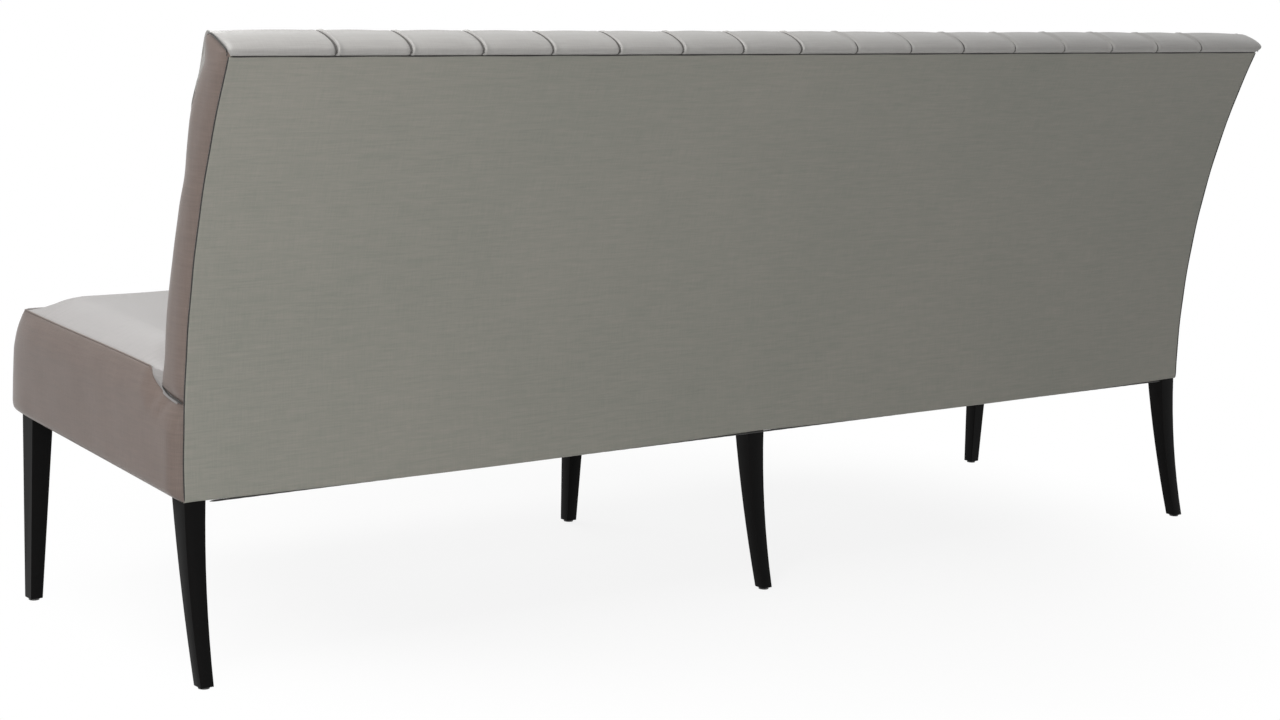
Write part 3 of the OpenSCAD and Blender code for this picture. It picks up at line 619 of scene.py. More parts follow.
def circle(centre, first, second, radius, count):
    """Points of a circle in the plane of two directions."""
    turns = np.linspace(0, 2 * math.pi, count, endpoint=False)
    return [centre + radius * (math.cos(t) * first + math.sin(t) * second) for t in turns]


def seam_distance(grid):
    """Distance of each (y, z) point of a grid to the grid's outline."""
    outline = np.vstack([grid[0], grid[1:, -1], grid[-1, -2::-1], grid[-2:0:-1, 0]])
    outline = outline[np.linalg.norm(outline - np.roll(outline, 1, axis=0), axis=1) > 1e-7]
    points = grid.reshape(-1, 2)
    best = np.full(len(points), 9.0)
    for a, b in zip(outline, np.roll(outline, -1, axis=0)):
        way = b - a
        share = np.clip(((points - a) @ way) / max(way @ way, 1e-12), 0, 1)
        best = np.minimum(best, np.linalg.norm(points - a - share[:, None] * way, axis=1))
    return best.reshape(grid.shape[:2])


def round_over(distance, reach):
    """0 at an edge and 1 from that reach inwards, with the rise of a quarter round."""
    near = 1 - np.clip(distance / reach, 0, 1)
    return np.sqrt(np.clip(1 - near * near, 0, 1))


def edge_rise(distance, reach):
    """0 at an edge and 1 from that reach inwards, with the rise of a quarter wave."""
    return np.sin(math.pi / 2 * np.clip(distance / reach, 0, 1))


def slow_waves(a, b, seed, size):
    """A gentle uneven surface, from -1 to 1, made of a few crossed waves."""
    turn = np.random.default_rng(seed).uniform(0, 2 * math.pi, 8)
    total = sum(np.sin((a * math.cos(k * 1.1) + b * math.sin(k * 1.1)) * (2.1 + 0.7 * k) / size + turn[k])
                for k in range(8))
    return total / 5


print("curve helpers ready")

# %% [markdown]
# ## Outside back
# The outside back is one taut panel of leather over a board. Its edges are folded in: along the top
# under the roll, at both ends against the side strips, and at the bottom round the rail, where it sags
# a little between the legs. A flat sheet would look like card, so the panel gets the slight waves of
# stretched cloth and small puckers beside the end seams.

# %% Outside back cover
EDGE_STEPS = (0, 0.0004, 0.0009, 0.0015, 0.0022, 0.003, 0.0045, 0.007, 0.012, 0.02)
UNDER_FOLD = ((0.016, -0.0012), (0.008, -0.0013), (0.004, -0.0012), (0.0018, -0.0006), (0.0005, 0.0006))
TOP_FOLD = ((0, -0.0032), (0, -0.0022), (0.0003, -0.0014), (0.0009, -0.0008), (0.0018, -0.0005), (0.0045, -0.0004))
PANEL_THICK = 0.0012
PANEL_FOLD = 0.0022
PANEL_WAVE = 0.0007
PANEL_PUCKER = 0.00045
PANEL_SAG = 0.0042
LEG_SPACING = 1.12


def spaced(low, high, step):
    """Even places from low to high, with fine steps near both."""
    margin, edge = EDGE_STEPS[-1], np.array(EDGE_STEPS[:-1])
    inner = np.linspace(low + margin, high - margin, max(2, round((high - low - 2 * margin) / step)))
    return np.concatenate([low + edge, inner, high - edge[::-1]])


def outside_back():
    """The panel, and the length of its cloth from fold to fold."""
    end = HALF_LENGTH - 0.0005
    xs = spaced(-end, end, 0.016)
    to_end = end - np.abs(xs)
    rows = [(rear_place(depth, UNDER_Z + up), (-1, 0)) for depth, up in UNDER_FOLD]
    rows += [(rear_place(0, z), (-1, 0)) for z in np.linspace(UNDER_Z + 0.003, BOW_Z - 0.01, 9)]
    rows += [(back_place(0, angle), outward(angle)) for angle in np.linspace(0, TOP_ANGLE - 0.0035, 52)]
    rows += [(roll_place(depth, rise), outward(TOP_ANGLE)) for depth, rise in TOP_FOLD]
    run = run_length([place for place, _ in rows])
    fold = PANEL_FOLD * (1 - round_over(to_end, 0.0025))
    outer, inner, places = [], [], []
    for ((y, z), way), length in zip(rows, run):
        inside = smooth_step(to_end / 0.03) * smooth_step((TOP_SEAM_Z - z) / 0.03)
        wave = PANEL_WAVE * slow_waves(xs, z, 3, 0.55) * inside
        beside_end = np.exp(-to_end / 0.022) * smooth_step(to_end / 0.004)
        pucker = PANEL_PUCKER * np.sin(z * 95 + 2.2 * np.sin(z * 21)) * beside_end
        depth = fold + wave + pucker
        sag = PANEL_SAG * np.abs(np.sin(math.pi * xs / LEG_SPACING)) ** 0.8 * math.exp(-max(z - UNDER_Z, 0) / 0.035)
        outer.append(np.stack([xs, y + way[0] * depth, z + way[1] * depth - sag], 1))
        depth = depth + PANEL_THICK
        inner.append(np.stack([xs * 0.9995, y + way[0] * depth, z + way[1] * depth - sag], 1))
        places.append(np.stack([xs, np.full_like(xs, length)], 1))
    return shell_piece("outside_back_panel", outer, inner, places, rear_leather), float(run[-1])


outside_panel, outside_run = outside_back()
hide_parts("outside_back_cover")
print("outside back", len(outside_panel.data.polygons), "faces, run", round(outside_run, 4))

# %% [markdown]
# ## Side strips of the back
# A narrow padded strip closes each end of the back. Its top is a rounded dome that closes the end of
# the roll, and its foot lies on the seat's side. It is cut as a flat outline and gets a pillow face:
# the face rises with its distance from the seams, as wadding makes it.

# %% Outline of the strip
FOOT_REAR_Z = 0.4303
DOME = [(0, 0.0), (0, 0.10), (0.01, 0.22), (0.1, 0.42), (0.4, 0.46), (0.72, 0.44), (0.9, 0.28), (1.02, 0.04),
        (1.05, -0.1)]
# How far down the back from the top seam, and the strip's depth there.
STRIP_DEPTHS = [(0.0, 0.0706), (0.012, 0.0665), (0.036, 0.0572), (0.055, 0.0612), (0.115, 0.0683), (0.17, 0.061),
                (0.214, 0.0563), (0.26, 0.0595), (0.305, 0.0600), (0.366, 0.0632), (0.43, 0.0640), (0.48, 0.0630),
                (0.497, 0.0640), (0.508, 0.0655), (0.53, 0.0665)]
# How far in front of the rear seam, and the height there: of the seat's side seam and of the strip's foot.
SEAM_CURL = [(0, 0.4297), (0.018, 0.4312), (0.0315, 0.4331), (0.045, 0.4360), (0.058, 0.4396), (0.070, 0.4445),
             (0.0826, 0.4512), (0.090, 0.4580), (0.098, 0.4652), (0.106, 0.4700)]
STRIP_FOOT = [(0, 0.4308), (0.0080, 0.4323), (0.0232, 0.4344), (0.0386, 0.4372), (0.0478, 0.4404), (0.0570, 0.4457),
              (0.0598, 0.4519), (0.066, 0.4800)]
strip_line = smooth_curve(STRIP_DEPTHS, 6)


def strip_depth(angle):
    """Depth of the strip at that angle up the back: the padding swells between the rows of buttons."""
    return float(along_table((TOP_ANGLE - angle) * BOW_RADIUS, strip_line))


def seat_side_top(y):
    """Height of the seat's side seam, which curls down under the strip's foot."""
    back = REAR_Y - y
    return np.where(back > SEAM_CURL[-1][0], seam_height(y), along_table(back, SEAM_CURL))


def strip_foot(y):
    """Height of the dark line where the strip's foot meets the seat's cloth."""
    return along_table(REAR_Y - y, STRIP_FOOT)


def strip_rows():
    """Rows of (y, z) points from the foot up to the tip of the dome, each from the rear to the front."""
    foot_angle = math.asin((FOOT_REAR_Z + 0.0012 - BOW_Z) / BOW_RADIUS)
    rows = [[back_place(0.0012, angle), back_place(strip_depth(angle), angle)]
            for angle in np.linspace(foot_angle, TOP_ANGLE, 60)]
    dome = smooth_curve([roll_place(max(d * STRIP_DEPTH, 0.0012), r * ROLL_HEIGHT) for d, r in DOME], 10)
    up = np.array([math.sin(TOP_ANGLE), math.cos(TOP_ANGLE)])
    tip = int(np.argmax([(place - roll_place(0, 0)) @ up for place in dome]))
    rear, front = even_points(dome[:tip + 1], 16), even_points(dome[tip:][::-1], 16)
    rows[-1][1] = 0.5 * (rows[-2][1] + front[1])
    rows += [[a, b] for a, b in zip(rear[1:], front[1:])]
    share = 0.5 - 0.5 * np.cos(np.linspace(0, math.pi, 25))
    grid = np.array([[a + (b - a) * s for s in share] for a, b in rows])
    foot_line = seat_side_top(grid[0, :, 0]) + 0.0016 - grid[0, :, 1]
    for i in range(16):
        grid[i, :, 1] += foot_line * (1 - i / 16) ** 1.5
    return grid


print("strip has", len(strip_rows()), "rows")

# %% Side strips
def end_panel(name, side, rise, grid, finish, back=FRAME_END):
    """A shell on a grid of (y, z) points at one end of the bench, with its face raised outwards."""
    outer = np.dstack([side * (FRAME_END + rise), grid])
    inner = np.dstack([np.full(rise.shape, side * back), grid])
    return shell_piece(name, outer, inner, grid, finish)


STRIP_SWELL = 0.0092
STRIP_SWELL_REACH = 0.028
THINNEST_STRIP = 0.0004


def back_strip(side, word):
    """The padded strip at one end, puckered beside its seams."""
    grid = strip_rows()
    y, z, distance = grid[..., 0], grid[..., 1], seam_distance(grid)
    beside_seam = smooth_step(distance / 0.006) * np.exp(-distance / 0.02)
    puckers = 0.0005 * np.sin(z * 70 + 1.6 * np.sin(z * 17)) * beside_seam
    waves = 0.0008 * slow_waves(y, z, 11, 0.12) * smooth_step(distance / 0.01)
    rise = THINNEST_STRIP + STRIP_SWELL * round_over(distance, STRIP_SWELL_REACH) + (puckers + waves)
    return end_panel("back_strip_" + word, side, rise, grid, side_leather)


for side, word in ENDS:
    strip = back_strip(side, word)
    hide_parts("back_side_cover_" + word)
    print(strip.name, len(strip.data.polygons), "faces")

# %% [markdown]
# ## Sides of the seat
# The boxing at each end of the seat has a soft shoulder under the top seam and a slightly bulging
# front edge. Near the back its top edge curls down and runs under the foot of the side strip, which
# leaves a dark gap and a few puckers there.

# %% Sides of the seat
# Share of the front seam's set-back, and share of the seat's height.
FRONT_LINE = [(0.17, 0.0), (0.11, 0.03), (0.10, 0.12), (0.13, 0.3), (0.25, 0.62), (0.54, 0.83), (0.82, 0.94),
              (1.0, 1.0)]
SIDE_BELLY = 0.0165
SHOULDER_REACH = 0.052
THINNEST_SIDE = 0.0006


def front_edge(share):
    """Distance of the front edge behind the foremost line, at that share of the seat's height."""
    return FRONT_SEAM_SET * along_table(share, [(height, depth) for depth, height in FRONT_LINE])


def seat_side_rows():
    """Rows of (y, z) points from the lower edge up to the seam, each from the front to the rear."""
    rows, along = [], np.linspace(0, 1, 70)
    for share in np.concatenate([np.linspace(0, 0.85, 26), np.linspace(0.87, 1, 12)]):
        front_y = FRONT_Y + front_edge(share)
        ys = front_y + (REAR_Y - front_y) * along
        zs = under_height(ys) + share * (seat_side_top(ys) - under_height(ys))
        rear_y = rear_place(0.0012, zs[-1])[0]
        rows.append(np.stack([front_y + (rear_y - front_y) * along, zs], 1))
    return np.array(rows)


def seat_side(side, word):
    """The boxing at one end: a shoulder under the seam, a belly, and puckers near the strip's foot."""
    grid = seat_side_rows()
    y, z, distance = grid[..., 0], grid[..., 1], seam_distance(grid)
    to_top = seat_side_top(y) - z
    top_round = 0.04 + 0.96 * (0.8 * edge_rise(to_top, SHOULDER_REACH) + 0.2 * round_over(to_top, 0.02))
    front_round = round_over(y - y[:, :1] + 0.0008, 0.08)
    edge_round = round_over(z - z[:1, :] + 0.0006, 0.018) * round_over(y[:, -1:] - y + 0.0006, 0.026)
    belly = SIDE_BELLY + 0.0010 * smooth_step((to_top - 0.09) / 0.07)
    near_foot = np.exp(-(((y - REAR_Y + 0.055) / 0.035) ** 2 + ((z - 0.428) / 0.022) ** 2))
    gather = 0.0013 * np.sin((y - 0.6 * z) * 190) * near_foot
    waves = (0.0010 * slow_waves(y, z, 21, 0.2) + 0.0005 * slow_waves(y, z, 22, 0.07)) * smooth_step(distance / 0.02)
    rise = THINNEST_SIDE + belly * top_round * front_round * edge_round + gather + waves
    rise = np.maximum(rise, THINNEST_SIDE)
    return end_panel("seat_side_" + word, side, rise, grid, side_leather)


for side, word in ENDS:
    boxing = seat_side(side, word)
    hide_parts("seat_side_cover_" + word)
    print(boxing.name, len(boxing.data.polygons), "faces")

# %% [markdown]
# ## Seat top and front
# The top is a crowned pad: highest in the middle, drawn down to the seams at the front and both ends,
# and tucked under the back. At each rear corner its cloth goes on down between the strip's foot and the
# curled side seam. The front boxing rolls forward over the foam and turns in under the rail.

# %% Seat top
TOP_TUCK = 0.0014
TOP_SETTLE = 0.0011
TOP_EDGE = 0.0026


def seat_top():
    """The crowned pad, with small tucks where it goes under the back."""
    front, rear = FRONT_Y + FRONT_SEAM_SET + 0.0005, REAR_Y - 0.0406
    x, y = np.meshgrid(spaced(-FRAME_END, FRAME_END, 0.012), spaced(front, rear, 0.012))
    crown = edge_rise(from_end(x), 0.085) * edge_rise(y - front, 0.05) * edge_rise(rear - 0.026 - y, 0.104)
    seam = TOP_EDGE * round_over(np.minimum(from_end(x), y - front), 0.005)
    tuck = TOP_TUCK * np.sin(x * 88 + 2 * np.sin(x * 13)) * smooth_step((y - 0.06) / 0.08)
    settle = TOP_SETTLE * slow_waves(x, y, 31, 0.22) * crown
    z = seam_height(y) - TOP_EDGE + seam + SEAT_CROWN * crown + tuck * crown ** 0.5 + settle
    base = seam_height(y) - 0.003 - 0.008 * smooth_step((0.13 - REAR_Y + y) / 0.02) - 0.0005
    outer, inner = np.dstack([x, y, z]), np.dstack([x, y, base])
    return shell_piece("seat_top_pad", outer, inner, np.dstack([x, y]), seat_leather)


seat_pad = seat_top()
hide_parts("seat_top_cover")
print("seat top", len(seat_pad.data.polygons), "faces")

# %% Corner folds
def corner_fold(side, word):
    """The seat's cloth between the strip's foot and the curled side seam."""
    y, up = np.meshgrid(REAR_Y - np.linspace(0.112, 0.016, 40), np.linspace(0, 1, 14))
    low = seat_side_top(y) - 0.003
    z = low + (np.minimum(seam_height(y) + 0.0012, strip_foot(y)) - low) * up
    under_strip = smooth_step((0.066 - (REAR_Y - y)) / 0.008)
    tall = smooth_step((seam_height(y) - low - 0.004) / 0.012)
    slack = np.sin(math.pi * np.clip(0.08 + 0.92 * up, 0, 1)) ** 0.8 * tall
    rise = 0.0004 + 0.0046 * np.maximum(under_strip, slack)
    return end_panel("seat_corner_fold_" + word, side, rise, np.dstack([y, z]), seat_leather, back=FRAME_END + 0.0001)


for side, word in ENDS:
    fold = corner_fold(side, word)
    print(fold.name, len(fold.data.polygons), "faces")

# %% Seat front
def seat_front():
    """One ring of points per place along the bench: over the foam's face and back under the rail."""
    outer = smooth_curve([(FRONT_Y + d * FRONT_SEAM_SET, h * SEAT_HEIGHT) for d, h in FRONT_LINE], 6)
    leg_y = FRONT_Y + FRONT_LEG_SET
    inner = [(FRONT_Y + FRONT_SEAM_SET + 0.0016, SEAT_HEIGHT - 0.0016), (leg_y + 0.0001, 0.1), (leg_y + 0.0001, 0.0),
             (leg_y + 0.012, -0.0008), (FRONT_Y + 0.02, -0.0012)]
    face = slice(0, len(outer))
    share = np.clip(outer[:, 1] / SEAT_HEIGHT, 0, 1)
    bulge = np.sin(math.pi * share)
    rings = []
    for x in spaced(-FRAME_END, FRAME_END, 0.02):
        ring = np.vstack([outer, inner])
        waves = 0.0010 * slow_waves(np.full(len(outer), x), share * 0.17, 41, 0.3) + 0.0012
        ring[face, 0] -= waves * bulge * float(smooth_step(from_end(x) / 0.02))
        ring[face, 0] += 0.003 * (1 - float(round_over(from_end(x), 0.006))) * bulge ** 0.5
        rings.append(np.stack([np.full(len(ring), x), ring[:, 0], under_height(ring[:, 0]) + ring[:, 1]], 1))
    return ring_piece("seat_front_boxing", rings, seat_leather)


seat_boxing = seat_front()
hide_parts("seat_front_cover")
print("seat front", len(seat_boxing.data.polygons), "faces")

# %% [markdown]
# ### Seam ridges
# Where the top meets the boxing, both edges are sewn together and turned in, which shows as a thin
# stitched ridge. It could be a bump in the material, but it catches the light along its edge, so it is
# a narrow cord-like mesh with a shallow dent at every stitch.

# %% Seam ridges
RIDGE_STEP = 0.0022


def seam_ridge(name, path, radius, finish, stitch=0.006):
    """A thin round ridge along a path of (x, y, z), dented at every stitch and thinner at both ends."""
    path = np.asarray(path, float)
    path = even_points(smooth_curve(path, 4), 2 + int(run_length(path)[-1] / RIDGE_STEP))
    rings = []
    for i, (place, run) in enumerate(zip(path, run_length(path))):
        way = path[min(i + 1, len(path) - 1)] - path[max(i - 1, 0)]
        way /= np.linalg.norm(way)
        first = np.cross(way, (0.0, 0.0, 1.0))
        first /= np.linalg.norm(first)
        second = np.cross(first, way)
        swell = radius * (0.86 + 0.14 * abs(math.sin(math.pi * run / stitch)))
        swell *= min(1, 0.4 + min(i, len(path) - 1 - i) * 0.2)
        rings.append(circle(place, first, second, swell, 8))
    return ring_piece(name, rings, finish, sharp=80)


front_seam_y = FRONT_Y + FRONT_SEAM_SET
curl_steps = (0.108, 0.1, 0.09, 0.078, 0.064, 0.05, 0.034, 0.02, 0.006)
seam_ys = [*np.linspace(front_seam_y, REAR_Y - 0.116, 12), *(REAR_Y - np.array(curl_steps))]
for side, word in ENDS:
    path = [(side * (FRAME_END + 0.0009), y, float(seat_side_top(y)) + 0.0002) for y in seam_ys]
    seam_ridge("seat_end_seam_" + word, path, 0.0019, side_leather)
front_seam_z = under_height(front_seam_y) + SEAT_HEIGHT
front_path = [(x, front_seam_y + 0.0003, front_seam_z + 0.0003) for x in np.linspace(-FRAME_END, FRAME_END, 60)]
seam_ridge("seat_front_seam", front_path, 0.0018, seat_leather)
print("three seam ridges")

# %% [markdown]
# ### Sewn grooves
# Along the outside back, the end strips and the roll the edges are turned in and sewn. The groove is a
# millimetre or two wide and shows as a thin dark line. A dark cord lies at its bottom: it stands for the
# thread, and its darkness is also painted shade of the groove. The dust cover's hem uses the same cord.

# %% Sewn grooves
# Near-black cord: the seam thread, darkened further as painted shade of the groove it lies in.
thread_and_groove_shade = cloth("thread_and_groove_shade", (0.026, 0.024, 0.022), (0.014, 0.013, 0.012), 900.0, 0.7, 0.0001)
top_line = [(x, *roll_place(0.0004, -0.0002 + 0.0004 * math.sin(x * 37)))
            for x in np.linspace(-FRAME_END, FRAME_END, 90)]
seam_ridge("top_groove", top_line, 0.0013, thread_and_groove_shade)
for side, word in ENDS:
    upright = [(side * (HALF_LENGTH + 0.0001) + side * 0.0003 * math.sin(z * 60), *rear_place(0.0007, z))
               for z in np.linspace(UNDER_Z + 0.002, TOP_SEAM_Z - 0.001, 60)]
    seam_ridge("rear_groove_" + word, upright, 0.0011, thread_and_groove_shade)
    dome_line = [(side * (FRAME_END + 0.0062), *roll_place(max(d * STRIP_DEPTH, 0.0004), r * ROLL_HEIGHT + 0.0004))
                 for d, r in DOME[:-2]]
    seam_ridge("roll_end_groove_" + word, dome_line, 0.0011, thread_and_groove_shade)
    foot_line = [(side * (FRAME_END + 0.0050), y, float(strip_foot(y)))
                 for y in REAR_Y - np.linspace(0.0004, 0.0600, 24)]
    seam_ridge("strip_foot_groove_" + word, foot_line, 0.0015, thread_and_groove_shade)
hem_y = rear_place(0.004, UNDER_Z)[0]
hem = [(x, hem_y, UNDER_Z - 0.0036) for x in np.linspace(-1.095, 1.095, 40)]
seam_ridge("dust_cover_hem", hem, 0.0016, thread_and_groove_shade, stitch=0.03)
print("seven grooves and a hem")

# %% [markdown]
# ## Tufted inside back
# Buttons pull the padding down in a diamond pattern, and the spare cloth lies in folded pleats from
# button to button. Above the top row the pleats run straight up, over the roll and down to the rear
# seam, where they show in the photograph. The back is made as one ring of points per column: the ring
# follows the padding from its foot, over the roll to the rear seam, and back along the foam.

# %% Line of the padding
# Each step over the roll: its turn in degrees, its place from the rear to the front, its padding, its
# crown, and the share that is left of the padding at the ends.
ROLL_STEPS = [(0, 1, 0.5, 0.25, 1.58), (45, 1, 0.35, 0.15, 0.6), (90, 1, 0.35, 0.1, 0.36), (90, 0.5, 0.5, 0.15, 0.28),
              (90, 0, 0.5, 0.15, 0.22), (135, 0, 0.5, 0.1, 0.2), (165, 0, 0.34, 0.03, 0.4), (180, 0, 0.12, 0, 0.8)]
ROLL_CORE = ROLL_HEIGHT * 0.3
FOOT_ANGLE = math.radians(4.2594)
PADDING_STEP = 0.0036
# Columns of the padding line: (y, z) of the core, in a pleat and between pleats, tufting row, share left.
CORE, LOW, FULL = slice(0, 2), slice(2, 4), slice(4, 6)
ROW, LEFT = 6, 7


def padding_line():
    """The padding from the foot of the back over the roll to the rear seam, and the length up to each row."""
    rows = []
    for angle in np.linspace(FOOT_ANGLE, TOP_ANGLE - BUTTON_DROP * 0.3 / BOW_RADIUS, 30):
        row = ((TOP_ANGLE - angle) * BOW_RADIUS - BUTTON_DROP) / BUTTON_ROW_HEIGHT
        crown = PAD_CROWN * (0.5 + 0.5 * float(smooth_step((BUTTON_ROWS - row) / 0.8)))
        up = (angle - (TOP_ANGLE - BUTTON_DROP / BOW_RADIUS)) * BOW_RADIUS / BUTTON_DROP
        crown *= float(np.interp(up, [0, 0.35, 0.7], [1, 0.9, 0.6]))
        core = back_place(CORE_FRONT, angle)
        left = (strip_depth(angle) - 0.0008 - CORE_FRONT) / PLEAT_HEIGHT
        rows.append([*core, *(core + PLEAT_HEIGHT * outward(angle)), *(core + (PLEAT_HEIGHT + crown) * outward(angle)),
                     row, left])
    for degrees, place, thick, crown, left in ROLL_STEPS:
        turn = math.radians(degrees)
        depth = BOARD_FRONT + ROLL_CORE * (1 + math.cos(turn)) + (CORE_FRONT - BOARD_FRONT - 2 * ROLL_CORE) * place
        core = roll_place(depth, ROLL_CORE * math.sin(turn))
        way = outward(TOP_ANGLE + turn)
        rows.append([*core, *(core + thick * ROLL_HEIGHT * way),
                     *(core + (thick * ROLL_HEIGHT + crown * PAD_CROWN) * way), -1 - degrees / 180, left])
    dense = smooth_curve(rows, 8)
    run = run_length(dense[:, FULL])
    even = np.linspace(0, run[-1], int(run[-1] / PADDING_STEP))
    return np.stack([np.interp(even, run, column) for column in dense.T], 1), even


padding, padding_run = padding_line()
# 0 on the front of the back and 1 on the roll.
over_roll = smooth_step((padding_run - padding_run[-1] + 0.105) / 0.03)
print("padding line", len(padding), "rows over", round(padding_run[-1], 4), "m")

# %% Height between the pleats
PLEAT_KINK = 0.0022
PLEAT_LIP = 0.0024
PLEAT_DEEP = 0.0060
BUTTON_DIP_REACH = 0.026


def tuft_height(x, row):
    """0 in the bottom of a pleat at a button, 1 on top of a diamond, and the distance to the nearest button."""
    column = x / PITCH
    level = np.clip(row, 0, BUTTON_ROWS - 1)
    rising = np.abs(np.sin(math.pi * (column + 0.5 + level / 2)))
    falling = np.abs(np.sin(math.pi * (column + 0.5 - level / 2)))
    diamond = (rising * falling) ** 0.42
    nearest = np.full(np.broadcast(x, row).shape, 9.0)
    for k in range(BUTTON_ROWS):
        half = (BUTTON_COUNT + k % 2 - 1) / 2
        spot = np.clip(np.round(column - half) + half, -half, half) * PITCH
        nearest = np.minimum(nearest, np.hypot(x - spot, (row - k) * BUTTON_ROW_HEIGHT))
    dip = 1 - np.exp(-(nearest / BUTTON_DIP_REACH) ** 2)
    past_last = smooth_step((np.abs(column) - (7.72 + 0.45 * smooth_step(row / 0.5))) / 0.28)
    height = dip * (0.30 + 0.70 * diamond)
    return height * (1 - past_last) + past_last * dip, nearest


def pleat_shape(x, row):
    """A folded lip beside each pleat and a narrow shadow line in it, in metres."""
    column = x / PITCH
    pleat = np.round(column - 0.5)
    beside = (column - (pleat + 0.5)) * PITCH
    beside = beside + PLEAT_KINK * np.sin(7 * pleat) * smooth_step((0.2 - row) / 1.2)
    above = smooth_step((0.35 - row) / 0.5) * (np.abs(pleat + 0.5) < BUTTON_COUNT / 2)
    to_middle = beside * np.where(x > 0, 1.0, -1.0)
    lip = PLEAT_LIP * np.exp(-((to_middle + 0.0046) / 0.0030) ** 2) - PLEAT_DEEP * np.exp(-(beside / 0.0015) ** 2)
    soft = 0.0009 * np.exp(-((to_middle - 0.010) / 0.005) ** 2)
    return (lip + soft) * above


print("a pleat is", round(float(pleat_shape(np.array(PITCH / 2), np.array(-1.0))) * 1000, 2), "mm deep")

# %% Pleat fold shadows
# The folds themselves are raised in the tufted back's geometry; these dark cords add painted shade along their
# bottoms.
fold_shade = cloth("fold_shade", (0.085, 0.080, 0.074), (0.058, 0.054, 0.050), 900.0, 0.6, 0.0001)


def pleat_shadow_line(column):
    """A dark cord of painted shade in the bottom of one fold, from the top row of buttons over the roll to the rear
    seam.
    """
    rows = padding[:, ROW] < -0.25
    above, roll = padding[rows], over_roll[rows]
    way = above[:, LOW] - above[:, CORE]
    way /= np.linalg.norm(way, axis=1, keepdims=True)
    kink = PLEAT_KINK * math.sin(7 * round(column - 0.5)) * smooth_step((0.2 - above[:, ROW]) / 1.2)
    places = above[:, LOW] - (0.0018 - 0.0016 * roll)[:, None] * way
    return np.column_stack([column * PITCH - kink, places])[::3]


for number in range(BUTTON_COUNT):
    fold_shadow_path = pleat_shadow_line(number - (BUTTON_COUNT - 1) / 2)
    seam_ridge("pleat_fold_%02d" % (number + 1), fold_shadow_path, 0.0015, fold_shade, stitch=0.5)
print("sixteen folds")

# %% Inside back
CREASE = 0.0007
BACK_WAVE = 0.0008
BUTTON_RISE = 0.0045
NEAR_END_SWELL, FAR_END_SWELL = 0.0085, 0.020
NEAR_END_REACH, FAR_END_REACH = 0.009, 0.013


def inside_back_columns():
    """Places along the bench: even ones, and fine ones at every pleat and at both ends."""
    base = np.arange(-FRAME_END, FRAME_END + 1e-9, 0.0045)
    beside = (-0.0036, -0.0022, -0.0011, 0, 0.0011, 0.0022, 0.0036)
    fine = [pleat * PITCH + step for pleat in np.arange(-7.5, 8) for step in beside]
    ends = [s * (FRAME_END - step) for s in (-1, 1) for step in (0, 0.0005, 0.0012, 0.0022, 0.0035)]
    xs = np.unique(np.round(np.concatenate([base, fine, ends]), 5))
    xs = xs[np.concatenate([[True], np.diff(xs) > 0.0003])]
    xs[0], xs[-1] = -FRAME_END, FRAME_END
    return xs


def inside_back():
    """The tufted back: diamonds and pleats raised from the padding line, one ring of points per column."""
    xs = inside_back_columns()
    x, row = np.meshgrid(xs, padding[:, ROW])
    height, nearest = tuft_height(x, row)
    fade = edge_rise(from_end(x), END_MARGIN * 0.6)
    to_seam = smooth_step((padding_run[-1] - padding_run) / 0.02)[:, None]
    to_end = 1 - round_over(from_end(x), np.where(x > 0, NEAR_END_REACH, FAR_END_REACH))
    on_roll = over_roll[:, None]
    swell = np.where(x > 0, NEAR_END_SWELL * smooth_step((-0.5 - row) / 0.5), FAR_END_SWELL * on_roll)
    bulge = swell * to_seam * smooth_step(1 - from_end(x) / 0.02) * np.sqrt(1 - 0.8 * to_end)
    left = 1 - (1 - padding[:, LEFT])[:, None] * to_end * np.where(x < 0, 1 - 0.55 * on_roll, 1.0)
    round_button = np.arctan2((row - np.round(row)) * BUTTON_ROW_HEIGHT, np.abs((x / PITCH) % 1 - 0.5) * PITCH + 1e-6)
    crease = CREASE * np.cos(9 * round_button) * np.exp(-nearest / 0.02) * smooth_step((nearest - 0.012) / 0.008)
    waves = BACK_WAVE * slow_waves(x, row * BUTTON_ROW_HEIGHT, 51, 0.16)
    button_rise = BUTTON_RISE * np.exp(-(nearest / 0.03) ** 2) * (row > -0.6)
    extra = pleat_shape(x, row) * (0.35 + 0.65 * to_seam) + (crease + waves) * to_seam + button_rise
    extra = extra * (0.25 + 0.75 * edge_rise(from_end(x), 0.02))
    core, low, full = padding[:, None, CORE], padding[:, None, LOW], padding[:, None, FULL]
    way = (low - core) / np.linalg.norm(low - core, axis=2, keepdims=True)
    outer = core + (low - core) * left[..., None] + (full - low) * (height * fade)[..., None] + way * extra[..., None]
    foam_side = even_points(padding[::-1, CORE], 24)
    rings = []
    for j, place in enumerate(xs):
        across = np.concatenate([place + math.copysign(1, place) * bulge[:, j], np.full(len(foam_side), place)])
        rings.append(np.column_stack([across, np.vstack([outer[:, j], foam_side])]))
    return ring_piece("inside_back_tufted", rings, tufted_leather, sharp=75)


tufted_back = inside_back()
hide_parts("inside_back_cover")
print("inside back", len(tufted_back.data.polygons), "faces")

# %% [markdown]
# ## Tuft buttons
# Each button is a small domed shell covered with the same leather, drawn into the padding. They are
# all alike, so one turned profile is repeated at every place of the pattern.

# %% Tuft buttons
# Radius and rise from the middle of the dome to the end of the shank.
BUTTON_PROFILE = [(0.0, 0.0068), (0.003, 0.0066), (0.006, 0.0058), (0.0085, 0.0044), (0.0102, 0.0026),
                  (0.0109, 0.001), (0.0108, -0.0004), (0.0098, -0.0014), (0.006, -0.0016), (0.002, -0.0016),
                  (0.002, -0.006), (0.0, -0.006)]
BUTTON_DEPTH = CORE_FRONT + PLEAT_HEIGHT + 0.007
BUTTON_SIDES = 24


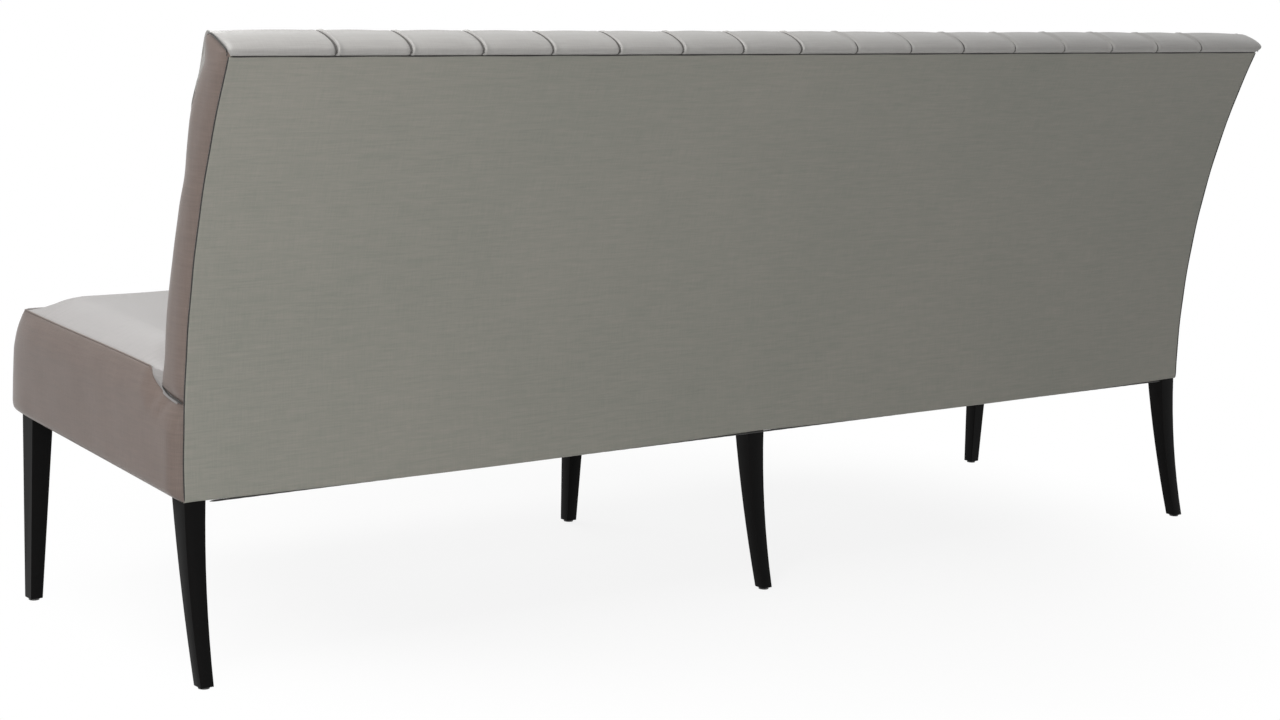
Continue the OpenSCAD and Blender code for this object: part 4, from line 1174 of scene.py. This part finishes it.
def tuft_buttons():
    """All buttons in one mesh, each square to the back at its row."""
    vertices, faces, corners = [], [], []
    across = np.array([1, 0, 0])
    for k in range(BUTTON_ROWS):
        angle = TOP_ANGLE - (BUTTON_DROP + k * BUTTON_ROW_HEIGHT) / BOW_RADIUS
        place = back_place(BUTTON_DEPTH, angle)
        up, way = np.array([0, math.sin(angle), math.cos(angle)]), np.array([0, *outward(angle)])
        count = BUTTON_COUNT + k % 2
        for i in range(count):
            centre = np.array([(i - (count - 1) / 2) * PITCH, *place])
            start = len(vertices)
            for radius, rise in BUTTON_PROFILE:
                vertices += circle(centre + way * rise, across, up, radius, BUTTON_SIDES)
            for quad in quads(len(BUTTON_PROFILE), BUTTON_SIDES + 1):
                faces.append(tuple(start + a * BUTTON_SIDES + b % BUTTON_SIDES for a, b in quad))
                turns = [(BUTTON_PROFILE[a][0], math.tau * b / BUTTON_SIDES) for a, b in quad]
                corners.append(tuple((radius * math.cos(t), radius * math.sin(t)) for radius, t in turns))
    return finished_piece("tuft_buttons_covered", vertices, faces, corners, tufted_leather)


buttons = tuft_buttons()
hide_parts("tuft_buttons")
print("buttons", len(buttons.data.polygons), "faces")

# %% [markdown]
# ## Legs
# The legs are the model's own parts with their long edges broken, as a joiner sands them before
# lacquering. Sharp edges would show no highlight, so each leg's mesh is copied and its edges below the
# seat are bevelled.

# %% Legs
BROKEN_EDGE = 0.0016
LONG_EDGE = 0.008


def eased_leg(node):
    """A copy of a leg's mesh whose long edges below the seat are rounded."""
    work = bmesh.new()
    work.from_mesh(nodes[node].data)
    bmesh.ops.remove_doubles(work, verts=work.verts, dist=1e-6)
    bmesh.ops.dissolve_limit(work, angle_limit=math.radians(0.6), verts=work.verts, edges=work.edges)
    edges = [e for e in work.edges if len(e.link_faces) == 2 and e.calc_length() > LONG_EDGE
             and max(v.co.z for v in e.verts) < UNDER_Z + 0.004 and e.calc_face_angle() > math.radians(25)]
    bmesh.ops.bevel(work, geom=edges, offset=BROKEN_EDGE, offset_type="OFFSET", segments=3, profile=0.5,
                    affect="EDGES", clamp_overlap=True)
    bmesh.ops.triangulate(work, faces=[f for f in work.faces if len(f.verts) > 4])
    bmesh.ops.recalc_face_normals(work, faces=work.faces)
    mesh = bpy.data.meshes.new(node + "_eased")
    work.to_mesh(mesh)
    work.free()
    return riding_piece(mesh, black_lacquer, sharp=28)


for name in [n for n in nodes if "_leg_" in n]:
    leg = eased_leg(name)
    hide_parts(name)
    print(leg.name, len(leg.data.polygons), "faces")

# %% [markdown]
# ## Dust cover
# A black non-woven cloth closes the underside. It is stapled to the rails, so it is tight along its
# edges and hangs a few millimetres between them, and it is cut out round each leg.

# %% Dust cover
CLOTH_SAG = 0.006
CLOTH_THICK = 0.0006
LEG_BAYS = [(-FRAME_END, -1.100), (-0.020, 0.020), (1.100, FRAME_END)]
FRONT_CUT, REAR_CUT = FRONT_Y + FRONT_LEG_SET + 0.038, REAR_Y - BOARD_FRONT - 0.038


def dust_sheet():
    """The cloth, its flat area, and the size it was cut to."""
    low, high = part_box("dust_cover")
    xs = np.unique(np.concatenate([np.linspace(low.x, high.x, 70), [v for bay in LEG_BAYS for v in bay]]))
    ys = np.unique(np.concatenate([np.linspace(low.y, high.y, 22), [FRONT_CUT, REAR_CUT]]))
    x, y = np.meshgrid(xs, ys)
    bay = np.abs(np.sin(math.pi * x / FRAME_END))
    sag = CLOTH_SAG * bay ** 0.7 * np.sin(math.pi * np.clip((y - low.y) / (high.y - low.y), 0, 1)) ** 0.8
    z = under_height(y) - 0.0004 - sag + 0.0006 * slow_waves(x, y, 61, 0.25)
    index = np.arange(x.size).reshape(x.shape)
    faces, corners, area = [], [], 0.0
    for quad in quads(len(ys), len(xs)):
        (i, j), (i_next, j_next) = quad[0], quad[2]
        middle_x, middle_y = (xs[j] + xs[j_next]) / 2, (ys[i] + ys[i_next]) / 2
        if not FRONT_CUT <= middle_y <= REAR_CUT and any(a < middle_x < b for a, b in LEG_BAYS):
            continue
        faces.append(tuple(index[a, b] for a, b in quad))
        corners.append(tuple((xs[b], ys[a]) for a, b in quad))
        area += (xs[j_next] - xs[j]) * (ys[i_next] - ys[i])
    used = sorted({v for face in faces for v in face})
    place = {v: k for k, v in enumerate(used)}
    points = np.dstack([x, y, z]).reshape(-1, 3)[used]
    faces = [tuple(place[v] for v in face) for face in faces]
    piece = finished_piece("dust_cover_cloth", points, faces, corners, under_cloth)
    thick = piece.modifiers.new("cloth_thickness", "SOLIDIFY")
    thick.thickness = CLOTH_THICK
    thick.offset = 0
    with bpy.context.temp_override(object=piece, active_object=piece, selected_objects=[piece]):
        bpy.ops.object.modifier_apply(modifier=thick.name)
    return piece, area, (high.x - low.x, (high.y - low.y) / math.cos(math.radians(4)))


dust_cloth, dust_area, dust_cut = dust_sheet()
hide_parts("dust_cover")
print("dust cover", len(dust_cloth.data.polygons), "faces")
